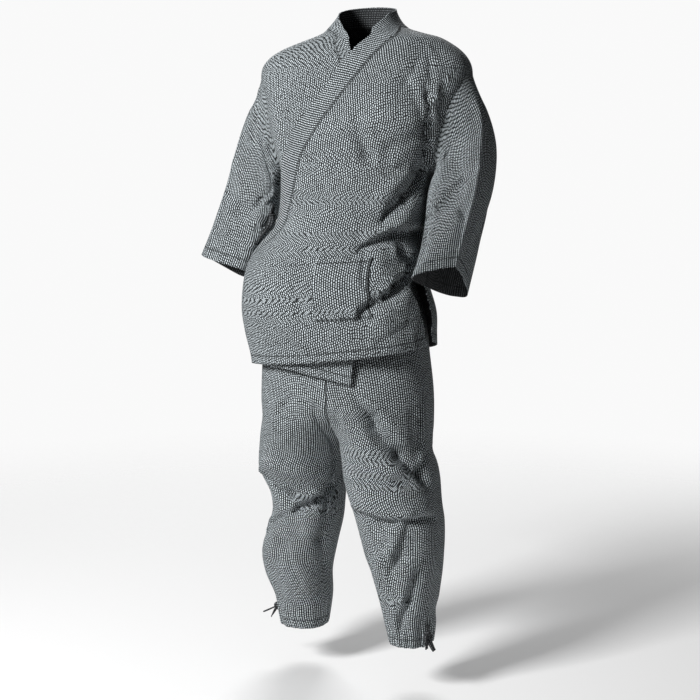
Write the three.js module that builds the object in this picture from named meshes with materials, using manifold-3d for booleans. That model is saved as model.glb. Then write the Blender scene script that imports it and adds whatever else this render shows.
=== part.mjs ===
import * as THREE from 'three';
import Module from 'manifold-3d';

const wasm = await Module();
wasm.setup();

// sizes of the cloth, in millimetres
const CLOTH = 1.6;
const BAND_CLOTH = 2.6;
const SEAM_GAP = 0.4;
const OVERLAP_LIFT = 12;
const UNDER_TUCK = 6;
const SQUARENESS = 2.3;
const MM_PER_DEGREE = 3.4;
const SLEEVE_MM_PER_DEGREE = 1.2;
const SLEEVE_LENGTH = 380;
const LEG_MM_PER_DEGREE = 1.7;

// levels of the jacket, measured down from the side of the neck
const NECK_SEAM = 4;
const SHOULDER_TIP = -80;
const UNDERARM = -300;
const ARMHOLE_MIDDLE = (SHOULDER_TIP + UNDERARM) / 2;
const ARMHOLE_HALF_HEIGHT = (SHOULDER_TIP - UNDERARM) / 2;
const ARMHOLE_HALF_DEPTH = 52;

// grid of the walls
const SLEEVE_COLUMNS = 24;
// how round a sleeve section is: 1 is an ellipse, less is squarer
const SLEEVE_ROUND_TOP = 0.9;
const SLEEVE_ROUND_CUFF = 0.5;
const SLEEVE_FLATTENED = 0.4;
const SLEEVE_BLEND = 0.16;
const ARMHOLE_ROWS = SLEEVE_COLUMNS / 2;
const YOKE_LEVELS = [4, -10, -26, -50];
const SKIRT_ROWS = 9;
const COLLAR_END_ROW = 4;
const BACK_COLUMNS = 20;
const FRONT_COLUMNS = 17;
const SLEEVE_ROWS = 12;
const LEG_COLUMNS = 11;
const LEG_ROWS = 23;

// the body of the jacket, a row for each level
const TORSO = [
  { z: 60, wide: 55, fore: 60, rear: 50, x: 0, y: 0 },
  { z: 30, wide: 63, fore: 66, rear: 58, x: 0, y: 0 },
  { z: 4, wide: 86, fore: 72, rear: 68, x: 0, y: 0 },
  { z: -6, wide: 108, fore: 78, rear: 78, x: 10, y: 0 },
  { z: -14, wide: 134, fore: 83, rear: 84, x: 16, y: 0 },
  { z: -24, wide: 160, fore: 87, rear: 90, x: 12, y: 0 },
  { z: -40, wide: 194, fore: 92, rear: 98, x: 3, y: 0 },
  { z: -58, wide: 218, fore: 98, rear: 106, x: -3, y: -1 },
  { z: -80, wide: 231, fore: 104, rear: 113, x: -6, y: -2 },
  { z: -110, wide: 231, fore: 112, rear: 120, x: -6, y: -4 },
  { z: -150, wide: 217, fore: 119, rear: 126, x: -7, y: -7 },
  { z: -200, wide: 204, fore: 126, rear: 128, x: -10, y: -13 },
  { z: -250, wide: 184, fore: 126, rear: 125, x: -13, y: -18 },
  { z: -300, wide: 166, fore: 122, rear: 120, x: -15, y: -24 },
  { z: -360, wide: 159, fore: 118, rear: 114, x: -15, y: -29 },
  { z: -410, wide: 160, fore: 118, rear: 112, x: -20, y: -33 },
  { z: -450, wide: 175, fore: 122, rear: 114, x: -38, y: -36 },
  { z: -485, wide: 188, fore: 128, rear: 118, x: -50, y: -39 },
  { z: -525, wide: 197, fore: 134, rear: 125, x: -54, y: -42 },
  { z: -590, wide: 213, fore: 140, rear: 136, x: -49, y: -44 },
  { z: -640, wide: 208, fore: 142, rear: 140, x: -44, y: -43 },
  { z: -700, wide: 198, fore: 144, rear: 142, x: -35, y: -40 },
  { z: -760, wide: 196, fore: 144, rear: 142, x: -34, y: -40 },
];

// the outer edge of the wearer's left front, where its half of the collar is sewn on
const COLLAR_OVER = [
  { z: 4, seam: 68, edge: 52, edgeZ: 34 },
  { z: -14, seam: 38, edge: 30, edgeZ: 12 },
  { z: -36, seam: 28, edge: 3, edgeZ: -14 },
  { z: -68, seam: 19, edge: -4.3, edgeZ: -50 },
  { z: -127, seam: -2.2, edge: -19.1, edgeZ: -112 },
  { z: -176, seam: -15.3, edge: -31.6, edgeZ: -163 },
  { z: -215, seam: -23.8, edge: -42.7, edgeZ: -211 },
  { z: -254, seam: -32.4, edge: -52.1, edgeZ: -252 },
  { z: -300, seam: -38.8, edge: -57.6, edgeZ: -302 },
  { z: -361, seam: -46.8, edge: -64.3, edgeZ: -366 },
  { z: -418, seam: -53.8, edge: -73.2, edgeZ: -418 },
  { z: -460, seam: -63.3, edge: -82.6, edgeZ: -454 },
  { z: -510, seam: -82.5, edge: -98, edgeZ: -512 },
];

// the edge of the wearer's right front, which lies beneath
const COLLAR_UNDER = [
  { z: 4, seam: -68, edge: -52, edgeZ: 34 },
  { z: -14, seam: -52.3, edge: -34, edgeZ: 10 },
  { z: -36, seam: -33.8, edge: -23.2, edgeZ: -16 },
  { z: -68, seam: -16.1, edge: 3.1, edgeZ: -54 },
  { z: -127, seam: 1.9, edge: 20.1, edgeZ: -116 },
  { z: -215, seam: 16.1, edge: 34.2, edgeZ: -208 },
  { z: -330, seam: 26.8, edge: 45, edgeZ: -328 },
  { z: -430, seam: 34.7, edge: 52.1, edgeZ: -430 },
  { z: -520, seam: 40, edge: 56, edgeZ: -520 },
];

const EDGE_AT_NECK = 52;
const COLLAR_SIDE_HEIGHT = 34;
const COLLAR_BACK_HEIGHT = 50;

// the free front edge beneath the end of the collar, in degrees round the body
const FREE_EDGE_OVER = [
  { z: -510, turn: -83 },
  { z: -560, turn: -86 },
  { z: -640, turn: -86 },
  { z: -740, turn: -85 },
];
const FREE_EDGE_UNDER = [
  { z: -520, turn: 40 },
  { z: -600, turn: 34 },
  { z: -700, turn: 25 },
  { z: -780, turn: 22 },
];

// the hems, a level for each turn round the body
const HEM_OVER = [
  { turn: -90, z: -724 },
  { turn: -60, z: -712 },
  { turn: 10, z: -686 },
  { turn: 45, z: -668 },
  { turn: 90, z: -650 },
];
const HEM_UNDER = [
  { turn: -90, z: -712 },
  { turn: -40, z: -706 },
  { turn: 0, z: -722 },
  { turn: 30, z: -738 },
];
const HEM_BACK = [
  { turn: 90, z: -650 },
  { turn: 140, z: -690 },
  { turn: 220, z: -704 },
  { turn: 270, z: -712 },
];

// the side edges beneath the underarm: seam first, then the open vent
const SIDE_FRONT_LEFT = [
  { z: -300, turn: 90 },
  { z: -470, turn: 90 },
  { z: -500, turn: 78 },
  { z: -530, turn: 65 },
  { z: -600, turn: 74 },
  { z: -660, turn: 80 },
];
const SIDE_BACK_LEFT = [
  { z: -300, turn: 90 },
  { z: -470, turn: 90 },
  { z: -530, turn: 95 },
  { z: -600, turn: 94 },
  { z: -720, turn: 91 },
];
const SIDE_RIGHT = [
  { z: -300, turn: 0 },
  { z: -500, turn: 0 },
  { z: -720, turn: 3 },
];

// folds pressed into the body: a line from one turn and level to another
const TORSO_FOLDS = [
  { turn: 70, z: -45, toTurn: 68, toZ: -200, wide: 16, deep: -7 },
  { turn: 68, z: -200, toTurn: 75, toZ: -285, wide: 14, deep: -8 },
  { turn: 60, z: -60, toTurn: 50, toZ: -125, wide: 26, deep: -6 },
  { turn: 15, z: -190, toTurn: 26, toZ: -252, wide: 14, deep: -8 },
  { turn: 26, z: -252, toTurn: 64, toZ: -275, wide: 18, deep: -6 },
  { turn: 42, z: -242, toTurn: 62, toZ: -212, wide: 16, deep: -5 },
  { turn: 34, z: -165, toTurn: 52, toZ: -190, wide: 38, deep: 7 },
  { turn: 72, z: -290, toTurn: 56, toZ: -334, wide: 15, deep: -12 },
  { turn: 56, z: -334, toTurn: 42, toZ: -385, wide: 15, deep: -10 },
  { turn: 58, z: -292, toTurn: 38, toZ: -345, wide: 18, deep: 8 },
  { turn: 72, z: -345, toTurn: 54, toZ: -396, wide: 18, deep: 6 },
  { turn: 84, z: -425, toTurn: 53, toZ: -412, wide: 15, deep: -10 },
  { turn: 53, z: -412, toTurn: 28, toZ: -455, wide: 16, deep: -10 },
  { turn: 60, z: -385, toTurn: 34, toZ: -425, wide: 18, deep: 6 },
  { turn: 62, z: -445, toTurn: 70, toZ: -480, wide: 13, deep: -9 },
  { turn: 70, z: -480, toTurn: 56, toZ: -508, wide: 14, deep: -9 },
  { turn: 56, z: -508, toTurn: 33, toZ: -575, wide: 16, deep: -8 },
  { turn: 48, z: -440, toTurn: 58, toZ: -478, wide: 18, deep: 7 },
  { turn: 74, z: -520, toTurn: 50, toZ: -580, wide: 20, deep: 6 },
  { turn: -17, z: -550, toTurn: -12, toZ: -574, wide: 12, deep: -6 },
  { turn: -12, z: -574, toTurn: 8, toZ: -582, wide: 13, deep: -6 },
  { turn: -48, z: -560, toTurn: -14, toZ: -640, wide: 30, deep: 7 },
  { turn: -60, z: -120, toTurn: -52, toZ: -250, wide: 26, deep: -6 },
  { turn: 110, z: -200, toTurn: 150, toZ: -260, wide: 22, deep: -6 },
  { turn: 120, z: -260, toTurn: 165, toZ: -420, wide: 30, deep: -8 },
  { turn: 250, z: -200, toTurn: 212, toZ: -262, wide: 22, deep: -6 },
  { turn: 238, z: -250, toTurn: 198, toZ: -400, wide: 30, deep: -8 },
  { turn: 150, z: -480, toTurn: 215, toZ: -500, wide: 34, deep: -7 },
  { turn: 240, z: -430, toTurn: 200, toZ: -470, wide: 22, deep: -6 },
  { turn: 180, z: -60, toTurn: 180, toZ: -180, wide: 34, deep: -4 },
];

// the sleeves, a row for each section from armhole to cuff
const SLEEVE_LEFT = {
  innerFront: [
    { t: 0, x: 172, y: -60, z: -285 },
    { t: 0.2, x: 158, y: -80, z: -322 },
    { t: 0.4, x: 148, y: -90, z: -364 },
    { t: 0.6, x: 144, y: -96, z: -410 },
    { t: 0.8, x: 138, y: -108, z: -458 },
    { t: 1, x: 124, y: -130, z: -506 },
  ],
  outerFront: [
    { t: 0, x: 222, y: -52, z: -100 },
    { t: 0.2, x: 256, y: -42, z: -165 },
    { t: 0.4, x: 264, y: -50, z: -240 },
    { t: 0.6, x: 258, y: -56, z: -322 },
    { t: 0.8, x: 240, y: -62, z: -402 },
    { t: 1, x: 220, y: -64, z: -484 },
  ],
  outerBack: [
    { t: 0, x: 222, y: 34, z: -100 },
    { t: 0.2, x: 252, y: 30, z: -165 },
    { t: 0.4, x: 280, y: 30, z: -240 },
    { t: 0.6, x: 282, y: 26, z: -326 },
    { t: 0.8, x: 256, y: 28, z: -430 },
    { t: 1, x: 220, y: 38, z: -566 },
  ],
  innerBack: [
    { t: 0, x: 172, y: 32, z: -285 },
    { t: 0.2, x: 166, y: 34, z: -322 },
    { t: 0.4, x: 156, y: 34, z: -366 },
    { t: 0.6, x: 152, y: 32, z: -420 },
    { t: 0.8, x: 156, y: 28, z: -482 },
    { t: 1, x: 164, y: 24, z: -560 },
  ],
};
const SLEEVE_RIGHT = {
  innerFront: [
    { t: 0, x: 172, y: -60, z: -285 },
    { t: 0.2, x: 190, y: -66, z: -318 },
    { t: 0.4, x: 196, y: -62, z: -362 },
    { t: 0.6, x: 208, y: -64, z: -404 },
    { t: 0.8, x: 234, y: -66, z: -458 },
    { t: 1, x: 257, y: -66, z: -515 },
  ],
  outerFront: [
    { t: 0, x: 228, y: -52, z: -100 },
    { t: 0.2, x: 260, y: -46, z: -172 },
    { t: 0.4, x: 292, y: -46, z: -260 },
    { t: 0.6, x: 318, y: -46, z: -334 },
    { t: 0.8, x: 344, y: -48, z: -412 },
    { t: 1, x: 368, y: -50, z: -490 },
  ],
  outerBack: [
    { t: 0, x: 228, y: 34, z: -100 },
    { t: 0.2, x: 264, y: 30, z: -168 },
    { t: 0.4, x: 304, y: 28, z: -256 },
    { t: 0.6, x: 336, y: 26, z: -330 },
    { t: 0.8, x: 370, y: 22, z: -410 },
    { t: 1, x: 408, y: 18, z: -488 },
  ],
  innerBack: [
    { t: 0, x: 172, y: 32, z: -285 },
    { t: 0.2, x: 196, y: 34, z: -322 },
    { t: 0.4, x: 210, y: 34, z: -372 },
    { t: 0.6, x: 232, y: 30, z: -424 },
    { t: 0.8, x: 268, y: 26, z: -480 },
    { t: 1, x: 300, y: 22, z: -542 },
  ],
};
const SLEEVE_LEFT_FOLDS = [
  { turn: 30, t: 0.15, toTurn: 44, toT: 0.5, wide: 10, deep: 4 },
  { turn: 44, t: 0.5, toTurn: 46, toT: 1, wide: 8, deep: 5 },
  { turn: 110, t: 0.2, toTurn: 80, toT: 0.5, wide: 22, deep: -7 },
  { turn: 100, t: 0.55, toTurn: 60, toT: 0.72, wide: 18, deep: -5 },
  { turn: 140, t: 0.5, toTurn: 120, toT: 0.9, wide: 14, deep: -5 },
  { turn: -110, t: 0.3, toTurn: -60, toT: 0.5, wide: 20, deep: -6 },
  { turn: -60, t: 0.55, toTurn: -20, toT: 0.8, wide: 20, deep: -5 },
];
const SLEEVE_RIGHT_FOLDS = [
  { turn: 40, t: 0.1, toTurn: 110, toT: 0.11, wide: 12, deep: -6 },
  { turn: 110, t: 0.11, toTurn: 165, toT: 0.05, wide: 12, deep: -6 },
  { turn: 20, t: 0.13, toTurn: 75, toT: 0.19, wide: 13, deep: -6 },
  { turn: 75, t: 0.19, toTurn: 125, toT: 0.24, wide: 13, deep: -7 },
  { turn: 50, t: 0.15, toTurn: 95, toT: 0.16, wide: 12, deep: 4 },
  { turn: 90, t: 0.68, toTurn: 113, toT: 0.52, wide: 16, deep: -6 },
  { turn: 113, t: 0.52, toTurn: 161, toT: 0.39, wide: 16, deep: -6 },
  { turn: 60, t: 0.45, toTurn: 110, toT: 0.62, wide: 20, deep: 5 },
  { turn: 45, t: 0.3, toTurn: 45, toT: 1, wide: 9, deep: 4 },
  { turn: -120, t: 0.3, toTurn: -60, toT: 0.5, wide: 20, deep: -6 },
  { turn: -160, t: 0.6, toTurn: -80, toT: 0.7, wide: 20, deep: -6 },
];

// the hips of the trousers, hidden by the jacket down to its hem
const WAIST = -462;
const WAISTBAND_HEIGHT = 34;
const JACKET_COVER = -730;
const CROTCH_START = -780;
const CROTCH_END = -930;
const HIPS = [
  { z: -400, wide: 122, fore: 88, rear: 82, x: -28, y: -32 },
  { z: -460, wide: 132, fore: 92, rear: 86, x: -38, y: -34 },
  { z: -520, wide: 160, fore: 104, rear: 98, x: -50, y: -38 },
  { z: -600, wide: 182, fore: 114, rear: 126, x: -46, y: -42 },
  { z: -640, wide: 183, fore: 118, rear: 136.5, x: -42, y: -41 },
  { z: -680, wide: 184, fore: 122, rear: 131, x: -38, y: -40 },
  { z: -760, wide: 190, fore: 130, rear: 128, x: -34, y: -40 },
  { z: -850, wide: 192, fore: 132, rear: 130, x: -34, y: -40 },
  { z: -950, wide: 190, fore: 132, rear: 130, x: -34, y: -40 },
];

// the legs, a row for each level
const LEG_LEFT = [
  { z: -780, x: 56, y: -45, wide: 96, fore: 120, rear: 112 },
  { z: -880, x: 62, y: -45, wide: 98, fore: 116, rear: 106 },
  { z: -957, x: 73, y: -46, wide: 102, fore: 108, rear: 100 },
  { z: -1044, x: 92, y: -48, wide: 94, fore: 98, rear: 94 },
  { z: -1130, x: 104, y: -50, wide: 82, fore: 88, rear: 86 },
  { z: -1224, x: 112, y: -46, wide: 62, fore: 72, rear: 74 },
  { z: -1318, x: 117, y: -42, wide: 46, fore: 56, rear: 58 },
];
const LEG_RIGHT = [
  { z: -780, x: -134, y: -30, wide: 96, fore: 120, rear: 112 },
  { z: -880, x: -146, y: -4, wide: 98, fore: 116, rear: 106 },
  { z: -985, x: -166, y: 34, wide: 98, fore: 104, rear: 98 },
  { z: -1070, x: -162, y: 45, wide: 80, fore: 96, rear: 92 },
  { z: -1155, x: -181, y: 48, wide: 82, fore: 92, rear: 88 },
  { z: -1210, x: -182, y: 46, wide: 74, fore: 82, rear: 80 },
  { z: -1265, x: -169, y: 44, wide: 63, fore: 70, rear: 70 },
  { z: -1332, x: -166, y: 42, wide: 52, fore: 58, rear: 58 },
];
const ANKLE_LEFT = -1316;
const ANKLE_RIGHT = -1330;
const LEG_LEFT_FOLDS = [
  { turn: -62, z: -745, toTurn: -12, toZ: -806, wide: 18, deep: -8 },
  { turn: -12, z: -806, toTurn: 28, toZ: -885, wide: 18, deep: -10 },
  { turn: 28, z: -885, toTurn: 62, toZ: -940, wide: 18, deep: -12 },
  { turn: -35, z: -730, toTurn: 35, toZ: -850, wide: 18, deep: 6 },
  { turn: -50, z: -800, toTurn: 15, toZ: -920, wide: 20, deep: 7 },
  { turn: 50, z: -800, toTurn: 58, toZ: -930, wide: 14, deep: -7 },
  { turn: -47, z: -1021, toTurn: -7, toZ: -1030, wide: 13, deep: -8 },
  { turn: -7, z: -1030, toTurn: 61, toZ: -1021, wide: 13, deep: -7 },
  { turn: -40, z: -1000, toTurn: 50, toZ: -1000, wide: 16, deep: 6 },
  { turn: 32, z: -1069, toTurn: -4, toZ: -1133, wide: 16, deep: -6 },
  { turn: 34, z: -1137, toTurn: 18, toZ: -1200, wide: 15, deep: -6 },
  { turn: 18, z: -1200, toTurn: -2, toZ: -1262, wide: 15, deep: -6 },
  { turn: -60, z: -1150, toTurn: -30, toZ: -1270, wide: 16, deep: -5 },
  { turn: 120, z: -1000, toTurn: 230, toZ: -1040, wide: 24, deep: -9 },
  { turn: 110, z: -880, toTurn: 200, toZ: -930, wide: 24, deep: -8 },
  { turn: 130, z: -1120, toTurn: 220, toZ: -1180, wide: 22, deep: -7 },
  { turn: 100, z: -1240, toTurn: 180, toZ: -1270, wide: 18, deep: -5 },
];
const LEG_RIGHT_FOLDS = [
  { turn: 30, z: -975, toTurn: 0, toZ: -1008, wide: 15, deep: -9 },
  { turn: 0, z: -1008, toTurn: -12, toZ: -1036, wide: 13, deep: -9 },
  { turn: -12, z: -1036, toTurn: -62, toZ: -995, wide: 14, deep: -8 },
  { turn: -62, z: -995, toTurn: -84, toZ: -975, wide: 14, deep: -6 },
  { turn: 35, z: -940, toTurn: -60, toZ: -960, wide: 20, deep: 7 },
  { turn: -53, z: -1018, toTurn: -45, toZ: -1112, wide: 13, deep: -7 },
  { turn: -45, z: -1112, toTurn: -72, toZ: -1181, wide: 13, deep: -6 },
  { turn: -72, z: -1181, toTurn: -80, toZ: -1310, wide: 14, deep: -6 },
  { turn: 48, z: -1066, toTurn: -9, toZ: -1091, wide: 14, deep: -7 },
  { turn: -70, z: -790, toTurn: -61, toZ: -985, wide: 14, deep: -6 },
  { turn: 60, z: -830, toTurn: 0, toZ: -900, wide: 26, deep: -5 },
  { turn: 10, z: -1130, toTurn: 30, toZ: -1260, wide: 18, deep: -5 },
  { turn: 120, z: -1010, toTurn: 230, toZ: -1050, wide: 24, deep: -9 },
  { turn: 110, z: -880, toTurn: 200, toZ: -930, wide: 24, deep: -8 },
  { turn: 130, z: -1130, toTurn: 220, toZ: -1190, wide: 22, deep: -7 },
];

// the pocket on the wearer's left front
const POCKET = { fromColumn: 4, toColumn: 10, fromRow: 20, toRow: 23, lift: 2, cloth: 1.5 };

// the ties, each a knot with its loops and free ends: across, down and out from the knot
const TIE = { width: 11, cloth: 2, steps: 4, loopSteps: 8, swell: 0.32, detail: 0.25 };
const KNOT = { across: 8, down: 7, out: 6, rings: 4, sides: 6 };
const JACKET_TIE = { turn: -74, z: -392, height: 11 };
const JACKET_TIE_ENDS = [
  { loop: true, across: -8, down: 34, out: 0 },
  { loop: true, across: 12, down: 26, out: 2 },
  { loop: false, across: -12, down: 52, out: -2 },
  { loop: false, across: 4, down: 46, out: 2 },
  { loop: false, across: 16, down: -22, out: -2 },
];
const ANKLE_TIE_RIGHT = { turn: 74, z: -1296, height: 5.8 };
const ANKLE_ENDS_RIGHT = [
  { loop: false, across: 6, down: 14, out: 34 },
  { loop: false, across: -4, down: 26, out: 18 },
  { loop: false, across: -18, down: 8, out: -1 },
];
const ANKLE_TIE_LEFT = { turn: 52, z: -1286, height: 5.7 };
const ANKLE_ENDS_LEFT = [
  { loop: true, across: 24, down: 4, out: 3 },
  { loop: true, across: -22, down: 10, out: 3 },
  { loop: false, across: 22, down: 34, out: 20 },
  { loop: false, across: -6, down: 32, out: 4 },
  { loop: false, across: 2, down: -22, out: -2 },
];

const DEGREE = Math.PI / 180;
const PROBE = 0.5;

function lookup(table, key, column, at) {
  const sign = Math.sign(table[table.length - 1][key] - table[0][key]);
  const last = table.length - 2;
  let k = 0;
  while (k < last && (at - table[k + 1][key]) * sign > 0) {
    k += 1;
  }
  const from = table[k];
  const to = table[k + 1];
  const before = table[Math.max(k - 1, 0)];
  const after = table[Math.min(k + 2, table.length - 1)];
  const span = to[key] - from[key];
  const u = Math.min(Math.max((at - from[key]) / span, 0), 1);
  const slopeFrom = ((to[column] - before[column]) / (to[key] - before[key])) * span;
  const slopeTo = ((after[column] - from[column]) / (after[key] - from[key])) * span;
  const u2 = u * u;
  const u3 = u2 * u;
  return (2 * u3 - 3 * u2 + 1) * from[column] + (u3 - 2 * u2 + u) * slopeFrom
    + (3 * u2 - 2 * u3) * to[column] + (u3 - u2) * slopeTo;
}

function straight(table, key, column, at) {
  const sign = Math.sign(table[table.length - 1][key] - table[0][key]);
  let k = 0;
  while (k < table.length - 2 && (at - table[k + 1][key]) * sign > 0) {
    k += 1;
  }
  const share = (at - table[k][key]) / (table[k + 1][key] - table[k][key]);
  return table[k][column] + (table[k + 1][column] - table[k][column]) * Math.min(Math.max(share, 0), 1);
}

function smooth(value) {
  const u = Math.min(Math.max(value, 0), 1);
  return u * u * (3 - 2 * u);
}

function mix(from, to, share) {
  return from + (to - from) * share;
}

// distance to a fold line gives a soft trough or ridge
function relief(folds, across, along, acrossKey, alongKey, acrossScale, alongScale) {
  let height = 0;
  for (const fold of folds) {
    const ax = fold[acrossKey] * acrossScale;
    const ay = fold[alongKey] * alongScale;
    const upperAcross = `to${acrossKey[0].toUpperCase()}${acrossKey.slice(1)}`;
    const upperAlong = `to${alongKey[0].toUpperCase()}${alongKey.slice(1)}`;
    const bx = fold[upperAcross] * acrossScale - ax;
    const by = fold[upperAlong] * alongScale - ay;
    const px = across * acrossScale - ax;
    const py = along * alongScale - ay;
    const share = Math.min(Math.max((px * bx + py * by) / (bx * bx + by * by), 0), 1);
    const distance = Math.hypot(px - bx * share, py - by * share);
    height += fold.deep * Math.exp(-((distance / fold.wide) ** 2));
  }
  return height;
}

function ringRadius(wide, deep, angle) {
  const s = Math.abs(Math.sin(angle)) / wide;
  const c = Math.abs(Math.cos(angle)) / deep;
  return (s ** SQUARENESS + c ** SQUARENESS) ** (-1 / SQUARENESS);
}

function ringPoint(table, folds, turn, z, lift) {
  const angle = turn * DEGREE;
  const wide = lookup(table, 'z', 'wide', z);
  const deep = lookup(table, 'z', Math.cos(angle) > 0 ? 'fore' : 'rear', z);
  const radius = ringRadius(wide, deep, angle) + relief(folds, turn, z, 'turn', 'z', MM_PER_DEGREE, 1) + lift;
  const x = lookup(table, 'z', 'x', z) + radius * Math.sin(angle);
  const y = lookup(table, 'z', 'y', z) - radius * Math.cos(angle);
  return new THREE.Vector3(x, y, z);
}

function normalised(turn) {
  return turn > 180 ? turn - 360 : turn;
}

function overlapLift(turn, z) {
  const towardsRight = smooth((82 - normalised(turn)) / 34);
  const belowNeck = smooth((-6 - z) / 60);
  return OVERLAP_LIFT * towardsRight * belowNeck;
}

// the right front is pressed in where the left front laps over it
function underTuck(turn, z) {
  return -UNDER_TUCK * smooth((normalised(turn) + 34) / 40) * smooth((-90 - z) / 80);
}

const bodyPoint = (turn, z) => ringPoint(TORSO, TORSO_FOLDS, turn, z, 0);
const underPoint = (turn, z) => ringPoint(TORSO, TORSO_FOLDS, turn, z, underTuck(turn, z));
const overPoint = (turn, z) => ringPoint(TORSO, TORSO_FOLDS, turn, z, overlapLift(turn, z));

function surfaceNormal(surface, a, b, stepB, centre) {
  const across = surface(a + PROBE, b).sub(surface(a - PROBE, b));
  const along = surface(a, b + stepB).sub(surface(a, b - stepB));
  const normal = across.cross(along).normalize();
  return normal.dot(surface(a, b).sub(centre)) < 0 ? normal.negate() : normal;
}

// a wall of cloth between a grid of outer points and the same points moved in
function wall(columns, rows, closed, place, thickness) {
  const vertices = [];
  const outer = [];
  const inner = [];
  const count = closed ? columns : columns + 1;
  for (let j = 0; j <= rows; j += 1) {
    for (let i = 0; i < count; i += 1) {
      const { point, normal } = place(i, j);
      outer.push(vertices.length / 3);
      vertices.push(point.x, point.y, point.z);
      const under = point.clone().addScaledVector(normal, -thickness);
      inner.push(vertices.length / 3);
      vertices.push(under.x, under.y, under.z);
    }
  }
  const at = (list, i, j) => list[j * count + (closed ? i % columns : i)];
  const triangles = [];
  const quad = (a, b, c, d) => triangles.push(a, b, c, a, c, d);
  for (let j = 0; j < rows; j += 1) {
    for (let i = 0; i < columns; i += 1) {
      quad(at(outer, i, j), at(outer, i + 1, j), at(outer, i + 1, j + 1), at(outer, i, j + 1));
      quad(at(inner, i, j), at(inner, i, j + 1), at(inner, i + 1, j + 1), at(inner, i + 1, j));
    }
  }
  for (let i = 0; i < columns; i += 1) {
    quad(at(outer, i, 0), at(inner, i, 0), at(inner, i + 1, 0), at(outer, i + 1, 0));
    quad(at(outer, i, rows), at(outer, i + 1, rows), at(inner, i + 1, rows), at(inner, i, rows));
  }
  if (!closed) {
    for (let j = 0; j < rows; j += 1) {
      quad(at(outer, 0, j), at(outer, 0, j + 1), at(inner, 0, j + 1), at(inner, 0, j));
      quad(at(outer, columns, j), at(inner, columns, j), at(inner, columns, j + 1), at(outer, columns, j + 1));
    }
  }
  return facingOut(vertices, triangles);
}

function facingOut(vertices, triangles) {
  let volume = 0;
  const corner = (k) => new THREE.Vector3().fromArray(vertices, 3 * k);
  for (let k = 0; k < triangles.length; k += 3) {
    volume += corner(triangles[k]).dot(corner(triangles[k + 1]).cross(corner(triangles[k + 2])));
  }
  const order = volume < 0 ? [0, 2, 1] : [0, 1, 2];
  const indices = [];
  for (let k = 0; k < triangles.length; k += 3) {
    indices.push(triangles[k + order[0]], triangles[k + order[1]], triangles[k + order[2]]);
  }
  const geometry = new THREE.BufferGeometry();
  geometry.setAttribute('position', new THREE.Float32BufferAttribute(vertices, 3));
  geometry.setIndex(indices);
  return geometry;
}

// levels of the jacket rows: yoke, armhole, then an even share down to the hem
const JACKET_ROWS = YOKE_LEVELS.length + ARMHOLE_ROWS + SKIRT_ROWS;

function armholeAngle(row) {
  return (row - YOKE_LEVELS.length) * (Math.PI / ARMHOLE_ROWS);
}

function rowLevel(row, hem) {
  if (row < YOKE_LEVELS.length) {
    return YOKE_LEVELS[row];
  }
  if (row <= YOKE_LEVELS.length + ARMHOLE_ROWS) {
    return ARMHOLE_MIDDLE + ARMHOLE_HALF_HEIGHT * Math.cos(armholeAngle(row));
  }
  return mix(UNDERARM, hem, (row - YOKE_LEVELS.length - ARMHOLE_ROWS) / SKIRT_ROWS);
}

// how far the armhole edge stands from the side line, in degrees
function armholeTurn(angle, z) {
  const wide = lookup(TORSO, 'z', 'wide', z);
  const depth = ARMHOLE_HALF_DEPTH * Math.abs(Math.sin(angle));
  const side = wide * (1 - (depth / lookup(TORSO, 'z', 'fore', z)) ** SQUARENESS) ** (1 / SQUARENESS);
  return 90 - Math.atan2(side, depth) / DEGREE;
}

function inArmhole(row) {
  return row > YOKE_LEVELS.length && row < YOKE_LEVELS.length + ARMHOLE_ROWS;
}

// turns of both side edges of a panel at a row
function sideTurn(row, z, belowTable) {
  if (inArmhole(row)) {
    return 90 - armholeTurn(armholeAngle(row), z);
  }
  return z < UNDERARM ? straight(belowTable, 'z', 'turn', z) : 90;
}

function overEdgeTurn(z) {
  const end = FREE_EDGE_OVER[0].z;
  return z > end ? lookup(COLLAR_OVER, 'z', 'seam', z) : lookup(FREE_EDGE_OVER, 'z', 'turn', z);
}

function underEdgeTurn(z) {
  const end = FREE_EDGE_UNDER[0].z;
  return z > end ? lookup(COLLAR_UNDER, 'z', 'seam', z) : lookup(FREE_EDGE_UNDER, 'z', 'turn', z);
}

// below the underarm the inner columns stand still and only the outer ones follow the edges
function spreadTurn(share, side, edge, homeSide, homeEdge, z) {
  const nearSide = Math.max(0, 1 - share / 0.23);
  const nearEdge = Math.max(0, (share - 0.62) / 0.38);
  const steady = mix(homeSide, homeEdge, share) + (side - homeSide) * nearSide + (edge - homeEdge) * nearEdge;
  return mix(mix(side, edge, share), steady, smooth((UNDERARM - z) / 90));
}

function frontGridPoint(row, share, hemTable, edgeTurn, sideAt, homeSide, homeEdge) {
  let turn = 0;
  let z = 0;
  for (let pass = 0; pass < 6; pass += 1) {
    z = rowLevel(row, lookup(hemTable, 'turn', 'z', turn));
    turn = spreadTurn(share, sideAt(row, z), edgeTurn(z), homeSide, homeEdge, z);
  }
  return { turn, z };
}

const overGrid = (row, share) => frontGridPoint(row, share, HEM_OVER, overEdgeTurn,
  (r, z) => sideTurn(r, z, SIDE_FRONT_LEFT), 90, -86);
const underGrid = (row, share) => frontGridPoint(row, share, HEM_UNDER, underEdgeTurn,
  (r, z) => (inArmhole(r) ? -sideTurn(r, z, SIDE_FRONT_LEFT) : -90 + straight(SIDE_RIGHT, 'z', 'turn', z)),
  -90,
  38,
);

function torsoCentre(z) {
  return new THREE.Vector3(lookup(TORSO, 'z', 'x', z), lookup(TORSO, 'z', 'y', z), z);
}

function panelPlace(surface, grid, shiftY, columns) {
  return (i, j) => {
    const { turn, z } = grid(j, i / columns);
    const point = surface(turn, z);
    const normal = surfaceNormal(surface, turn, z, PROBE, torsoCentre(z));
    point.y += shiftY;
    return { point, normal };
  };
}

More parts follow.
